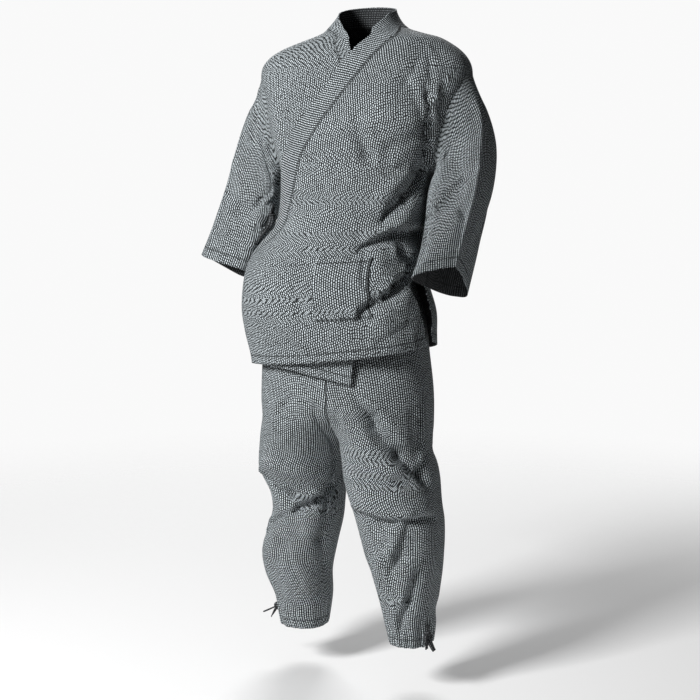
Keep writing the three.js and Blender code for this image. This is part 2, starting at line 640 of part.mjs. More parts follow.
function backGrid(row, share) {
  const spread = mix(90, 270, share);
  const z = rowLevel(row, lookup(HEM_BACK, 'turn', 'z', spread));
  let left = 90;
  let right = 270;
  if (inArmhole(row)) {
    left = 90 + armholeTurn(armholeAngle(row), z);
    right = 270 - armholeTurn(armholeAngle(row), z);
  } else if (z < UNDERARM) {
    left = straight(SIDE_BACK_LEFT, 'z', 'turn', z);
    right = 270 - straight(SIDE_RIGHT, 'z', 'turn', z);
  }
  return { turn: mix(left, right, share), z };
}

// the collar: down the left front edge, round the back of the neck, down the right front edge
function collarStations() {
  const stations = [];
  const lowest = YOKE_LEVELS.length + ARMHOLE_ROWS + COLLAR_END_ROW;
  for (let row = lowest; row >= 0; row -= 1) {
    const { turn, z } = overGrid(row, 1);
    const edgeTurn = lookup(COLLAR_OVER, 'z', 'edge', z);
    stations.push({ turn, z, edgeTurn, edgeZ: lookup(COLLAR_OVER, 'z', 'edgeZ', z), side: -1 });
  }
  const from = stations[stations.length - 1].turn;
  const neckSteps = 14;
  for (let k = 1; k < neckSteps; k += 1) {
    const share = k / neckSteps;
    const turn = mix(from, 360 - from, share);
    const edgeZ = mix(COLLAR_SIDE_HEIGHT, COLLAR_BACK_HEIGHT, Math.sin(share * Math.PI));
    const edgeTurn = mix(EDGE_AT_NECK, 360 - EDGE_AT_NECK, share);
    stations.push({ turn, z: NECK_SEAM, edgeTurn, edgeZ, side: 0 });
  }
  for (let row = 0; row <= lowest; row += 1) {
    const { turn, z } = underGrid(row, 1);
    const edgeTurn = lookup(COLLAR_UNDER, 'z', 'edge', z) + 360;
    stations.push({ turn: turn + 360, z, edgeTurn, edgeZ: lookup(COLLAR_UNDER, 'z', 'edgeZ', z), side: 1 });
  }
  return stations;
}

// round the back of the neck the collar stands on the body, on the right front it is pressed in
const collarUnderPoint = (turn, z) => (turn > -90 ? underPoint(turn, z) : bodyPoint(turn, z));

function collarGeometry() {
  const stations = collarStations();
  const across = 3;
  const surface = (turn, z) => (turn < 180 ? overPoint(turn, z) : collarUnderPoint(turn - 360, z));
  return wall(stations.length - 1, across, false, (i, j) => {
    const station = stations[i];
    const share = j / across;
    const gapTurn = station.side * (SEAM_GAP * 1.7) / 2.4 * (1 - share);
    const gapZ = station.side === 0 ? SEAM_GAP * (1 - share) : 0;
    const turn = mix(station.turn, station.edgeTurn, share) + gapTurn;
    const z = mix(station.z, station.edgeZ, share) + gapZ;
    return { point: surface(turn, z), normal: surfaceNormal(surface, turn, z, PROBE, torsoCentre(z)) };
  }, BAND_CLOTH);
}

// one of the four corners that a sleeve section is drawn between
function sleeveCorner(path, t) {
  return new THREE.Vector3(lookup(path, 't', 'x', t), lookup(path, 't', 'y', t), lookup(path, 't', 'z', t));
}

function sleeveCentre(table, t) {
  const sum = new THREE.Vector3();
  for (const path of Object.values(table)) {
    sum.add(sleeveCorner(path, t));
  }
  return sum.multiplyScalar(1 / Object.keys(table).length);
}

// sine or cosine drawn out toward a square as the sleeve flattens below the armhole
function squared(value, t) {
  const power = mix(SLEEVE_ROUND_TOP, SLEEVE_ROUND_CUFF, smooth(t / SLEEVE_FLATTENED));
  return (1 + Math.sign(value) * Math.abs(value) ** power) / 2;
}

// a sleeve section: side by side with the body at the armhole, a rounded square beyond it
function sleevePoint(table, folds, side, turn, t) {
  const angle = turn * DEGREE;
  const c = Math.cos(angle);
  const s = Math.sin(angle);
  const out = squared(c, t);
  const back = sleeveCorner(table.innerBack, t).lerp(sleeveCorner(table.outerBack, t), out);
  const front = sleeveCorner(table.innerFront, t).lerp(sleeveCorner(table.outerFront, t), out);
  const free = back.lerp(front, squared(s, t));
  const away = free.clone().sub(sleeveCentre(table, t)).normalize();
  const around = turn > 180 ? turn - 360 : turn;
  free.addScaledVector(away, relief(folds, around, t, 'turn', 't', SLEEVE_MM_PER_DEGREE, SLEEVE_LENGTH));
  free.x *= side;
  if (t >= SLEEVE_BLEND) {
    return free;
  }
  const level = ARMHOLE_MIDDLE + ARMHOLE_HALF_HEIGHT * c;
  const from = armholeTurn(angle, level);
  const bodyTurn = side * (90 - (s > 0 ? from : -from));
  const joined = bodyPoint(bodyTurn, level);
  joined.x += side * SEAM_GAP * 2;
  joined.y += s > 0 ? -SEAM_GAP / 2 : SEAM_GAP / 2;
  return joined.lerp(free, smooth(t / SLEEVE_BLEND));
}

function sleeveGeometry(table, folds, side) {
  const surface = (turn, t) => sleevePoint(table, folds, side, turn, Math.min(Math.max(t, 0), 1));
  return wall(SLEEVE_COLUMNS, SLEEVE_ROWS, true, (i, j) => {
    const turn = (i * 360) / SLEEVE_COLUMNS;
    const t = j / SLEEVE_ROWS;
    const centre = sleeveCentre(table, t);
    centre.x *= side;
    const across = surface(turn + 2, t).sub(surface(turn - 2, t));
    const along = surface(turn, Math.min(t + 0.01, 1)).sub(surface(turn, Math.max(t - 0.01, 0)));
    const normal = across.cross(along);
    if (j === 0) {
      normal.x = 0;
    }
    normal.normalize();
    const point = surface(turn, t);
    return { point, normal: normal.dot(point.clone().sub(centre)) < 0 ? normal.negate() : normal };
  }, CLOTH);
}

// trousers: hips above the crotch, a round leg below it
function legSurface(table, folds, side, front) {
  return (share, z) => {
    const hipTurn = front ? side * 90 * share : side * (180 - 90 * share);
    const hip = ringPoint(HIPS, [], hipTurn, z, 0);
    hip.x += side * SEAM_GAP * (1 - share);
    const legTurn = front ? mix(-90, 90, share) : mix(270, 90, share);
    const legZ = Math.min(z, table[0].z);
    const leg = ringPoint(table, [], side * legTurn, legZ, 0);
    leg.z = z;
    const blend = smooth((CROTCH_START - z) / (CROTCH_START - CROTCH_END));
    const point = hip.lerp(leg, blend);
    const centre = new THREE.Vector3(lookup(table, 'z', 'x', legZ), lookup(table, 'z', 'y', legZ), z);
    const away = point.clone().sub(centre).setZ(0).normalize();
    const edgeShare = Math.min(1, 6 * share * (1.02 - share));
    const bulge = relief(folds, legTurn, z, 'turn', 'z', LEG_MM_PER_DEGREE, 1) * smooth(edgeShare);
    point.addScaledVector(away, bulge * smooth((JACKET_COVER - z) / 60));
    point.y += front ? -SEAM_GAP / 2 : SEAM_GAP / 2;
    return point;
  };
}

function legGeometry(table, folds, side, front, ankle) {
  const surface = legSurface(table, folds, side, front);
  return wall(LEG_COLUMNS, LEG_ROWS, false, (i, j) => {
    const share = i / LEG_COLUMNS;
    const z = mix(WAIST, ankle, j / LEG_ROWS);
    const across = surface(share + 0.01, z).sub(surface(share - 0.01, z));
    const along = surface(share, z + 1).sub(surface(share, z - 1));
    const normal = across.cross(along).normalize();
    const point = surface(share, z);
    const centre = new THREE.Vector3(lookup(HIPS, 'z', 'x', z) + side * 60, lookup(HIPS, 'z', 'y', z), z);
    if (z < CROTCH_START) {
      centre.x = lookup(table, 'z', 'x', z);
      centre.y = lookup(table, 'z', 'y', z);
    }
    return { point, normal: normal.dot(point.clone().sub(centre)) < 0 ? normal.negate() : normal };
  }, CLOTH);
}

function waistbandGeometry() {
  const columns = 28;
  const rows = 2;
  const surface = (turn, z) => ringPoint(HIPS, [], turn, z, 0.6);
  return wall(columns, rows, true, (i, j) => {
    const z = WAIST + 3 * SEAM_GAP + (WAISTBAND_HEIGHT * j) / rows;
    const turn = (360 * i) / columns;
    const centre = new THREE.Vector3(lookup(HIPS, 'z', 'x', z), lookup(HIPS, 'z', 'y', z), z);
    return { point: surface(turn, z), normal: surfaceNormal(surface, turn, z, PROBE, centre) };
  }, BAND_CLOTH);
}

function pocketGeometry() {
  const columns = POCKET.toColumn - POCKET.fromColumn;
  const rows = POCKET.toRow - POCKET.fromRow;
  return wall(columns, rows, false, (i, j) => {
    const { turn, z } = overGrid(POCKET.fromRow + j, (POCKET.fromColumn + i) / FRONT_COLUMNS);
    const normal = surfaceNormal(overPoint, turn, z, PROBE, torsoCentre(z));
    const point = overPoint(turn, z).addScaledVector(normal, POCKET.lift);
    point.y -= SEAM_GAP / 2;
    return { point, normal };
  }, POCKET.cloth);
}

function solid(geometry) {
  const vertProperties = new Float32Array(geometry.getAttribute('position').array);
  const triVerts = new Uint32Array(geometry.getIndex().array);
  return new wasm.Manifold(new wasm.Mesh({ numProp: 3, vertProperties, triVerts }));
}

function fromSolid(body) {
  const mesh = body.getMesh();
  return facingOut(Array.from(mesh.vertProperties), Array.from(mesh.triVerts));
}

// a flat strip along a path, given the direction of its width at each point
function strip(path, widths) {
  const vertices = [];
  path.forEach((point, k) => {
    const ahead = path[Math.min(k + 1, path.length - 1)].clone().sub(path[Math.max(k - 1, 0)]).normalize();
    const wide = widths[k].clone().addScaledVector(ahead, -widths[k].dot(ahead)).normalize();
    const thick = new THREE.Vector3().crossVectors(ahead, wide);
    for (const [w, h] of [[-1, -1], [1, -1], [1, 1], [-1, 1]]) {
      const corner = point.clone().addScaledVector(wide, (w * TIE.width) / 2);
      corner.addScaledVector(thick, (h * TIE.cloth) / 2);
      vertices.push(corner.x, corner.y, corner.z);
    }
  });
  const triangles = [0, 1, 2, 0, 2, 3];
  for (let k = 0; k < path.length - 1; k += 1) {
    for (let c = 0; c < 4; c += 1) {
      const a = 4 * k + c;
      const b = 4 * k + ((c + 1) % 4);
      triangles.push(a, a + 4, b + 4, a, b + 4, b);
    }
  }
  const e = 4 * (path.length - 1);
  triangles.push(e, e + 2, e + 1, e, e + 3, e + 2);
  return facingOut(vertices, triangles);
}

function ball(centre, axes, sizes) {
  const vertices = [];
  const put = (lat, lon) => {
    const point = centre.clone().addScaledVector(axes[0], sizes[0] * Math.sin(lat) * Math.cos(lon));
    point.addScaledVector(axes[1], sizes[1] * Math.cos(lat));
    point.addScaledVector(axes[2], sizes[2] * Math.sin(lat) * Math.sin(lon));
    vertices.push(point.x, point.y, point.z);
  };
  put(0, 0);
  for (let r = 1; r < KNOT.rings; r += 1) {
    for (let c = 0; c < KNOT.sides; c += 1) {
      put((Math.PI * r) / KNOT.rings, (2 * Math.PI * c) / KNOT.sides);
    }
  }
  put(Math.PI, 0);
  const last = 1 + (KNOT.rings - 1) * KNOT.sides;
  const triangles = [];
  for (let c = 0; c < KNOT.sides; c += 1) {
    const d = (c + 1) % KNOT.sides;
    triangles.push(0, 1 + c, 1 + d);
    triangles.push(last, last - KNOT.sides + d, last - KNOT.sides + c);
    for (let r = 0; r < KNOT.rings - 2; r += 1) {
      const a = 1 + r * KNOT.sides;
      triangles.push(a + c, a + KNOT.sides + c, a + KNOT.sides + d, a + c, a + KNOT.sides + d, a + d);
    }
  }
  return facingOut(vertices, triangles);
}

// a knot on a surface with its loops and ends laid out over that surface
function tieGeometry(surface, knot, ends, side) {
  const at = (across, down, out) => {
    const turn = knot.turn + (side * across) / MM_PER_DEGREE;
    return surface(turn, knot.z - down, knot.height + out);
  };
  const centre = at(0, 0, 0);
  const out = at(0, 0, 4).sub(centre).normalize();
  const down = at(0, 4, 0).sub(centre);
  down.addScaledVector(out, -down.dot(out)).normalize();
  const axes = [new THREE.Vector3().crossVectors(out, down), down, out];
  let body = solid(ball(centre, axes, [KNOT.across, KNOT.down, KNOT.out]));
  for (const end of ends) {
    const path = [];
    const widths = [];
    const steps = end.loop ? TIE.loopSteps : TIE.steps;
    for (let k = 0; k <= steps; k += 1) {
      const share = k / steps;
      const reach = end.loop ? Math.sin(Math.PI * share) : share;
      const swell = end.loop ? TIE.swell * Math.sin(2 * Math.PI * share) : 0;
      const across = end.across * reach - end.down * swell;
      const fall = end.down * reach + end.across * swell;
      path.push(at(across, fall, end.out * reach));
      const flat = new THREE.Vector3().crossVectors(out, at(end.across, end.down, 0).sub(centre));
      widths.push(end.loop ? out.clone() : flat);
    }
    body = body.add(solid(strip(path, widths)));
  }
  const shells = body.simplify(TIE.detail).decompose().sort((a, b) => b.volume() - a.volume());
  return fromSolid(shells[0]);
}

const CLOTH_COLOUR = 0x6f7678;
const DARK_CLOTH = 0x4a5052;
const TRIM_COLOUR = 0x2f3436;

const group = new THREE.Group();
group.name = 'samue';

function add(name, geometry, colour) {
  const material = new THREE.MeshStandardMaterial({ color: colour, roughness: 0.9, metalness: 0 });
  material.name = name;
  const mesh = new THREE.Mesh(geometry, material);
  mesh.name = name;
  group.add(mesh);
}

add('jacket_back', wall(BACK_COLUMNS, JACKET_ROWS, false,
  panelPlace(bodyPoint, backGrid, SEAM_GAP / 2, BACK_COLUMNS), CLOTH), CLOTH_COLOUR);
add('jacket_front_left', wall(FRONT_COLUMNS, JACKET_ROWS, false,
  panelPlace(overPoint, overGrid, -SEAM_GAP / 2, FRONT_COLUMNS), CLOTH), CLOTH_COLOUR);
add('jacket_front_right', wall(FRONT_COLUMNS, JACKET_ROWS, false,
  panelPlace(underPoint, underGrid, -SEAM_GAP / 2, FRONT_COLUMNS), CLOTH), CLOTH_COLOUR);
add('jacket_collar', collarGeometry(), CLOTH_COLOUR);
add('sleeve_left', sleeveGeometry(SLEEVE_LEFT, SLEEVE_LEFT_FOLDS, 1), CLOTH_COLOUR);
add('sleeve_right', sleeveGeometry(SLEEVE_RIGHT, SLEEVE_RIGHT_FOLDS, -1), CLOTH_COLOUR);
add('jacket_pocket', pocketGeometry(), CLOTH_COLOUR);
add('trouser_waistband', waistbandGeometry(), DARK_CLOTH);
add('trouser_front_left', legGeometry(LEG_LEFT, LEG_LEFT_FOLDS, 1, true, ANKLE_LEFT), CLOTH_COLOUR);
add('trouser_back_left', legGeometry(LEG_LEFT, LEG_LEFT_FOLDS, 1, false, ANKLE_LEFT), CLOTH_COLOUR);
add('trouser_front_right', legGeometry(LEG_RIGHT, LEG_RIGHT_FOLDS, -1, true, ANKLE_RIGHT), CLOTH_COLOUR);
add('trouser_back_right', legGeometry(LEG_RIGHT, LEG_RIGHT_FOLDS, -1, false, ANKLE_RIGHT), CLOTH_COLOUR);

const overTieSurface = (turn, z, height) => {
  const lift = overlapLift(turn, z) + height;
  return ringPoint(TORSO, TORSO_FOLDS, turn, z, lift);
};
const legTieSurface = (table, side) => (turn, z, height) => ringPoint(table, [], side * turn, z, height);
add('jacket_tie', tieGeometry(overTieSurface, JACKET_TIE, JACKET_TIE_ENDS, 1), TRIM_COLOUR);
add('ankle_tie_left', tieGeometry(legTieSurface(LEG_LEFT, 1), ANKLE_TIE_LEFT, ANKLE_ENDS_LEFT, 1), TRIM_COLOUR);
const rightAnkle = legTieSurface(LEG_RIGHT, -1);
add('ankle_tie_right', tieGeometry(rightAnkle, ANKLE_TIE_RIGHT, ANKLE_ENDS_RIGHT, 1), TRIM_COLOUR);

export default group;
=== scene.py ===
import math

import bpy
import numpy as np
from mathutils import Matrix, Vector


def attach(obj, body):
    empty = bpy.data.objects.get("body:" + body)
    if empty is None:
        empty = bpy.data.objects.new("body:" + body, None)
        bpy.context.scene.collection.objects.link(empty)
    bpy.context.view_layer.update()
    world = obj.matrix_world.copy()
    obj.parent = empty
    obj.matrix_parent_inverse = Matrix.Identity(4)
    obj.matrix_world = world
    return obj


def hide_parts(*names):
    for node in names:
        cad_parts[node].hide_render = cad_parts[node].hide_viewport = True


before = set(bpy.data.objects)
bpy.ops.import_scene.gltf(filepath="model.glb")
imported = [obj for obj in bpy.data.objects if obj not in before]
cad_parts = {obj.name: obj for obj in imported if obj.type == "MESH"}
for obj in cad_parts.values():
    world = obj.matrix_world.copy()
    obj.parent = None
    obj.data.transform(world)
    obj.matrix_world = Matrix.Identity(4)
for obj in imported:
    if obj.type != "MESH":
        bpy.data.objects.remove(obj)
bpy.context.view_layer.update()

# lengths are in mm; turns are in degrees round the body, 0 at the front and 90 at the wearer's left
MM = 0.001
DEGREE = math.pi / 180
CLOTH = 1.5
BAND_CLOTH = 2.4

# an oval section is a little squarer than an ellipse
SQUARENESS = 2.3

# the camera and the floor
VIEW_TURN = 20
VIEW_RISE = 9
VIEW_DISTANCE = 3600
VIEW_TARGET = (-42, 0, -687)
VIEW_LENS = 84.55
SENSOR_WIDTH = 36
FLOOR_LEVEL = -1425
FLOOR_RADIUS = 3000
FLOOR_FADE_FROM = 900
FLOOR_FADE_TO = 2800
FLOOR_SIDES = 64
SURROUND_LIGHT = 0.07
SURROUND_SHOWN = 0.95


def rows(names, text):
    """A table of named columns, one row to a line."""
    names = names.split()
    values = np.array([[float(v) for v in line.split()] for line in text.strip().splitlines()])
    return {name: values[:, k] for k, name in enumerate(names)}


# the body of the jacket at each level: half its width, its depth to the front and to the rear, its middle
TORSO = rows("z wide fore rear x y", """
  60   55  60  50   0   0
  30   63  66  58   0   0
   4   86  72  68   0   0
  -6  108  78  78  10   0
 -14  134  83  84  16   0
 -24  160  87  90  12   0
 -40  194  92  98   3   0
 -58  218  98 106  -3  -1
 -80  231 104 113  -6  -2
-110  231 112 120  -6  -4
-150  217 119 126  -7  -7
-200  204 126 128 -10 -13
-250  184 126 125 -13 -18
-300  166 122 120 -15 -24
-360  159 118 114 -15 -29
-410  160 118 112 -20 -33
-450  175 122 114 -38 -36
-485  188 128 118 -50 -39
-525  196 134 125 -53 -42
-590  208 140 136 -46 -44
-640  205 142 140 -42 -43
-700  198 144 142 -35 -40
-760  196 144 142 -34 -40
""")
# the collar on each front: the turn of its seam at a level, and the turn and level of its free edge
COLLAR_OVER = rows("z seam edge edge_z", """
   4  70   60    35
 -10  47   40    18
 -27  35   22     0
 -45  28    4   -22
 -68  20   -3   -50
-127  -1  -18  -112
-176 -15.3 -31.6 -163
-215 -23.8 -42.7 -211
-254 -32.4 -52.1 -252
-300 -38.8 -57.6 -302
-361 -46.8 -64.3 -366
-418 -53.8 -73.2 -418
-460 -63.3 -82.6 -454
-510 -82.5 -98 -512
""")
COLLAR_UNDER = rows("z seam edge edge_z", """
   4 -68  -60    35
 -10 -43  -30    12
 -32 -31  -20   -16
 -59 -16   -3   -46
 -84  -5   10   -72
-127   5   21  -116
-215  16.1 34.2 -208
-330  26.8 45 -328
-430  34.7 52.1 -430
-520  40  56 -520
""")
EDGE_AT_NECK = 60
COLLAR_SIDE_HEIGHT = 34
COLLAR_BACK_HEIGHT = 50
# the free edges of the fronts, below the ends of the collar
FREE_EDGE_OVER = rows("z turn", """
-510 -83
-560 -86
-640 -86
-740 -85
""")
FREE_EDGE_UNDER = rows("z turn", """
-520  40
-600  34
-700  25
-780  22
""")
# the hems of the left front, the right front and the back
HEM_OVER = rows("turn z", """
-90 -717
-60 -705
 10 -681
 45 -668
 90 -650
""")
HEM_UNDER = rows("turn z", """
-90 -712
-40 -706
  0 -722
 30 -738
""")
HEM_BACK = rows("turn z", """
 90 -650
140 -690
220 -704
270 -712
""")
# the side edges below the underarm; the left side is slit, the right one is given from its own side
SIDE_FRONT_LEFT = rows("z turn", """
-300 90
-470 90
-500 80
-530 70
-600 76
-660 80
""")
SIDE_BACK_LEFT = rows("z turn", """
-300 90
-470 90
-530 87
-600 86
-720 87
""")
SIDE_RIGHT = rows("z turn", """
-300 0
-500 0
-720 3
""")
# the sleeves: at each share t of their length, the corners front inner, front outer, back outer, back inner
CORNERS = "t fi_x fi_y fi_z fo_x fo_y fo_z bo_x bo_y bo_z bi_x bi_y bi_z"
SLEEVE_LEFT = rows(CORNERS, """
0    172  -60 -285  222 -52 -100  222  34 -100  172  32 -285
0.2  151  -80 -322  258 -42 -165  262  30 -165  156  34 -322
0.4  148  -90 -364  264 -50 -240  285  30 -240  156  34 -366
0.6  144  -96 -410  258 -56 -322  282  26 -326  152  32 -420
0.8  138 -108 -458  240 -62 -402  256  28 -430  156  28 -482
1    124 -130 -506  220 -64 -484  220  38 -566  164  24 -560
""")
SLEEVE_RIGHT = rows(CORNERS, """
0    172  -60 -285  228 -52 -100  228  34 -100  172  32 -285
0.2  190  -66 -318  269 -46 -172  270  30 -168  196  34 -322
0.4  196  -62 -362  299 -46 -260  304  28 -256  204  34 -372
0.6  206  -64 -404  318 -46 -334  336  26 -330  220  30 -424
0.8  232  -66 -458  344 -48 -412  370  22 -410  256  26 -480
1    257  -66 -515  368 -50 -490  408  18 -488  300  22 -542
""")
# the trousers: one section round the hips, and one for each leg
HIPS = rows("z wide fore rear x y", """
-400 122  88  82 -28 -32
-460 132  92  86 -38 -34
-520 160 104  98 -50 -38
-600 182 114 126 -46 -42
-640 183 118 136.5 -42 -41
-680 184 122 131 -38 -40
-760 190 130 128 -34 -40
-850 192 132 130 -34 -40
-950 190 132 130 -34 -40
""")
LEG_LEFT = rows("z x y wide fore rear", """
 -780  56 -45  96 120 112
 -880  62 -45  98 116 106
 -957  73 -46 102 108 100
-1044  92 -48  94  98  94
-1130 104 -50  82  88  86
-1224 112 -46  62  72  74
-1318 117 -42  46  56  58
""")
LEG_RIGHT = rows("z x y wide fore rear", """
 -780 -134 -30 96 120 112
 -880 -145  -4 97 116 106
 -965 -164  28 92 106  99
-1020 -155  40 81  98  95
-1070 -158  45 79  95  92
-1155 -181  48 82  92  88
-1210 -182  46 74  82  80
-1265 -169  44 63  70  70
-1332 -166  42 52  58  58
""")

# soft folds: a line from one place to another, with its width and its depth, below 0 for a trough
FOLD = "turn z to_turn to_z wide deep"
TORSO_FOLDS = rows(FOLD, """
 70  -45  68 -200 16  -7
 68 -200  75 -285 14  -8
 60  -60  50 -125 26  -6
 15 -190  26 -252 18  -6
 26 -252  64 -275 20  -6
 42 -242  62 -212 16  -5
 34 -165  52 -190 38   7
 72 -290  56 -334 15 -12
 56 -334  42 -385 15 -10
 58 -292  38 -345 18   8
 72 -345  54 -396 18   6
 84 -425  56 -420 15 -10
 56 -420  30 -446 15 -10
 60 -385  34 -425 18   6
 62 -448  71 -490 13 -11
 71 -490  61 -523 13 -12
 61 -523  37 -572 14 -11
 46 -478  55 -505 20   8
 66 -545  46 -590 20   6
-17 -550 -12 -574 20  -4
-12 -574   8 -582 20  -4
-48 -560 -14 -640 34   6
-60 -120 -52 -250 26  -6
110 -200 150 -260 22  -6
120 -260 165 -420 30  -8
250 -200 212 -262 22  -6
238 -250 198 -400 30  -8
150 -480 215 -500 34  -7
240 -430 200 -470 22  -6
180  -60 180 -180 34  -4
""")
# on a sleeve, turn 0 is its outer side and 90 its front
SLEEVE_FOLD = "turn t to_turn to_t wide deep"
SLEEVE_LEFT_FOLDS = rows(SLEEVE_FOLD, """
  30 0.15  44 0.5  10  4
  44 0.5   46 1     8  5
 110 0.2   80 0.5  22 -7
 100 0.55  60 0.72 18 -5
 140 0.5  120 0.9  14 -5
-110 0.3  -60 0.5  20 -6
 -60 0.55 -20 0.8  20 -5
""")
SLEEVE_RIGHT_FOLDS = rows(SLEEVE_FOLD, """
  40 0.1  110 0.11 12 -6
 110 0.11 165 0.05 12 -6
  20 0.13  75 0.19 13 -6
  75 0.19 125 0.24 13 -7
  50 0.15  95 0.16 12  4
  90 0.68 113 0.52 16 -6
 113 0.52 161 0.39 16 -6
  60 0.45 110 0.62 20  5
  45 0.3   45 1     9  4
-120 0.3  -60 0.5  20 -6
-160 0.6  -80 0.7  20 -6
""")
# on a leg, turn 0 is its front and 90 its outer side
LEG_LEFT_FOLDS = rows(FOLD, """
-62  -745 -12  -806 18  -8
-12  -806  28  -885 18 -10
 28  -885  62  -940 18 -12
-35  -730  35  -850 18   6
-50  -800  15  -920 20   7
 50  -800  58  -930 14  -7
-47 -1021  -7 -1030 13  -8
 -7 -1030  61 -1021 13  -7
-40 -1000  50 -1000 16   6
 32 -1069  -4 -1133 16  -6
 34 -1137  18 -1200 15  -6
 18 -1200  -2 -1262 15  -6
-60 -1150 -30 -1270 16  -5
120 -1000 230 -1040 24  -9
110  -880 200  -930 24  -8
130 -1120 220 -1180 22  -7
100 -1240 180 -1270 18  -5
""")
LEG_RIGHT_FOLDS = rows(FOLD, """
 30  -975   0 -1008 15  -9
  0 -1008 -12 -1036 13  -9
-12 -1036 -62  -995 14  -8
-62  -995 -84  -975 14  -6
 35  -940 -60  -960 20   7
-53 -1018 -45 -1112 13  -7
-45 -1112 -72 -1181 13  -6
-72 -1181 -80 -1310 14  -6
 48 -1066  -9 -1091 14  -7
-70  -790 -61  -985 14  -6
 60  -830   0  -900 26  -5
 10 -1130  30 -1260 18  -5
120 -1010 230 -1050 24  -9
110  -880 200  -930 24  -8
130 -1130 220 -1190 22  -7
""")

# sharp creases that lie in the folds
TORSO_CREASES = rows(FOLD, """
 66  -60  63 -135  9  -7
 63 -135  65 -191  9 -10
 65 -191  70 -246  9 -11
 70 -246  76 -285  9 -10
 45 -377  58 -343 10 -11
 58 -343  77 -292 10 -15
 33 -447  48 -413  9  -9
 48 -413  66 -414  9 -13
 66 -414  86 -420  9 -11
 15 -212  30 -262 11  -4
 30 -262  44 -278 11  -4
 50 -282  72 -291 11  -5
 51 -100  58 -169  9  -5
 64  -44  51 -108  9  -3
 34 -579  53 -547 10 -11
 53 -547  70 -505 10 -14
 70 -505  73 -479 10 -13
 73 -479  62 -452  9 -11
 38 -519  36 -464  8  -4
 23 -588  43 -600  8  -4
-40 -600 -16 -660  9  -4
 44 -640  64 -600  9  -4
 70 -630  78 -560  9  -5
-62 -140 -55 -240  7  -4
112 -215 150 -262  9  -6
118 -270 160 -400 10  -6
248 -215 212 -262  9  -6
240 -265 200 -390 10  -6
150 -470 205 -492 10  -6
206 -462 236 -430  9  -5
130 -560 150 -640 10  -4
225 -540 205 -640 10  -4
""")
SLEEVE_LEFT_CREASES = rows(SLEEVE_FOLD, """
  84 0.42 100 0.18  8 -6
  66 0.7   98 0.56  8 -5
 120 0.86 132 0.5   9 -5
-106 0.32 -62 0.5   9 -6
 -56 0.57 -22 0.76  9 -5
-140 0.45 -90 0.62  9 -5
""")
SLEEVE_RIGHT_CREASES = rows(SLEEVE_FOLD, """
  33 0.11  88 0.17  8 -7
  88 0.17 118 0.22  8 -8
  60 0.03 115 0.05  7 -5
 113 0.18 160 0.08  8 -7
  90 0.69 111 0.48  8 -6
 111 0.48 137 0.33  8 -6
 141 0.67 170 0.58  8 -6
  35 0.83 117 0.79  9 -3
  47 0.62  87 0.63  9 -4
-116 0.32 -62 0.5   9 -6
-156 0.6  -84 0.7   9 -5
""")
LEG_LEFT_CREASES = rows(FOLD, """
 -7  -824 -49  -738 10  -8
 30  -889  -7  -824 10 -10
 53  -935  30  -889 10 -12
 56  -933  74  -887 10 -11
-36 -1013   3 -1025  7  -8
  3 -1025  54 -1019  7  -8
 60  -814  66  -740  9  -5
 64  -877  60  -814  9  -5
  8 -1103  32 -1023 10  -9
 -6 -1139   8 -1103 10  -7
 17 -1204  35 -1139 10  -8
 -3 -1258  17 -1204  9  -7
-24 -1160  -9 -1111  9  -4
-60  -900 -30  -980 10  -4
122 -1000 225 -1036  9  -8
112  -884 196  -928  9  -6
132 -1122 216 -1176  9  -6
140 -1046 204 -1064  8  -5
""")
LEG_RIGHT_CREASES = rows(FOLD, """
 14 -1006  38  -975  9 -13
 -5 -1040  14 -1006  9 -13
-34 -1018  -5 -1040  9 -12
-68  -990 -34 -1018  9 -10
-47 -1048 -52 -1026  6  -6
-45 -1083 -47 -1048  6  -5
 43 -1085  61 -1110  8  -6
 19 -1063  43 -1085  8  -6
-22 -1216   2 -1124  9  -4
-39  -747   0  -800 10  -5
-70 -1180 -45 -1112  8  -5
-70  -860 -62  -960 10  -5
226 -1046 122 -1012  9  -8
196  -928 112  -884  9  -6
216 -1186 132 -1132  9  -6
204 -1074 140 -1056  8  -5
""")
FOLD_WAYS = ("turn", "z")
SLEEVE_FOLD_WAYS = ("turn", "t")

# mm for each degree round the body, a leg or a sleeve, and mm for each unit along it
MM_PER_DEGREE = 3.4
TORSO_FOLD_SCALE = (MM_PER_DEGREE, 1)
LEG_FOLD_SCALE = (1.7, 1)
SLEEVE_FOLD_SCALE = (1.2, 380)

# a crease has a ledge on the left of its line, this much of its depth high and this many widths away
LEDGE = 0.7
LEDGE_PLACE = 1.3

# the left front stands off the right one, and fades into it at its side and at the shoulder
OVERLAP_LIFT = 12
OVERLAP_SIDE_TURN = 82
OVERLAP_SIDE_FADE = 34
OVERLAP_TOP = -6
OVERLAP_TOP_FADE = 60
UNDER_TUCK = 6
TUCK_TURN = -34
TUCK_TURN_FADE = 40
TUCK_TOP = -90
TUCK_TOP_FADE = 80

# the jacket's grid: rows over the shoulder, beside the armhole and down the skirt
NECK_SEAM = 4
SHOULDER_TIP = -80
UNDERARM = -300
ARMHOLE_MIDDLE = (SHOULDER_TIP + UNDERARM) / 2
ARMHOLE_HALF_HEIGHT = (SHOULDER_TIP - UNDERARM) / 2
ARMHOLE_HALF_DEPTH = 52
YOKE_LEVELS = np.array([4, -10, -26, -50, -80])
YOKE_ROWS = 4
ARMHOLE_ROWS = 12
UNDERARM_ROW = YOKE_ROWS + ARMHOLE_ROWS
SKIRT_ROWS = 9
COLLAR_END_ROW = 20

# below the underarm a front's columns keep these turns at its side and its edge, but for the outer shares
HOME_OVER = (90, -86)
HOME_UNDER = (-90, 38)
SIDE_SHARE = 0.23
EDGE_SHARE = 0.38
STEADY_DROP = 90
HEM_ROUNDS = 6

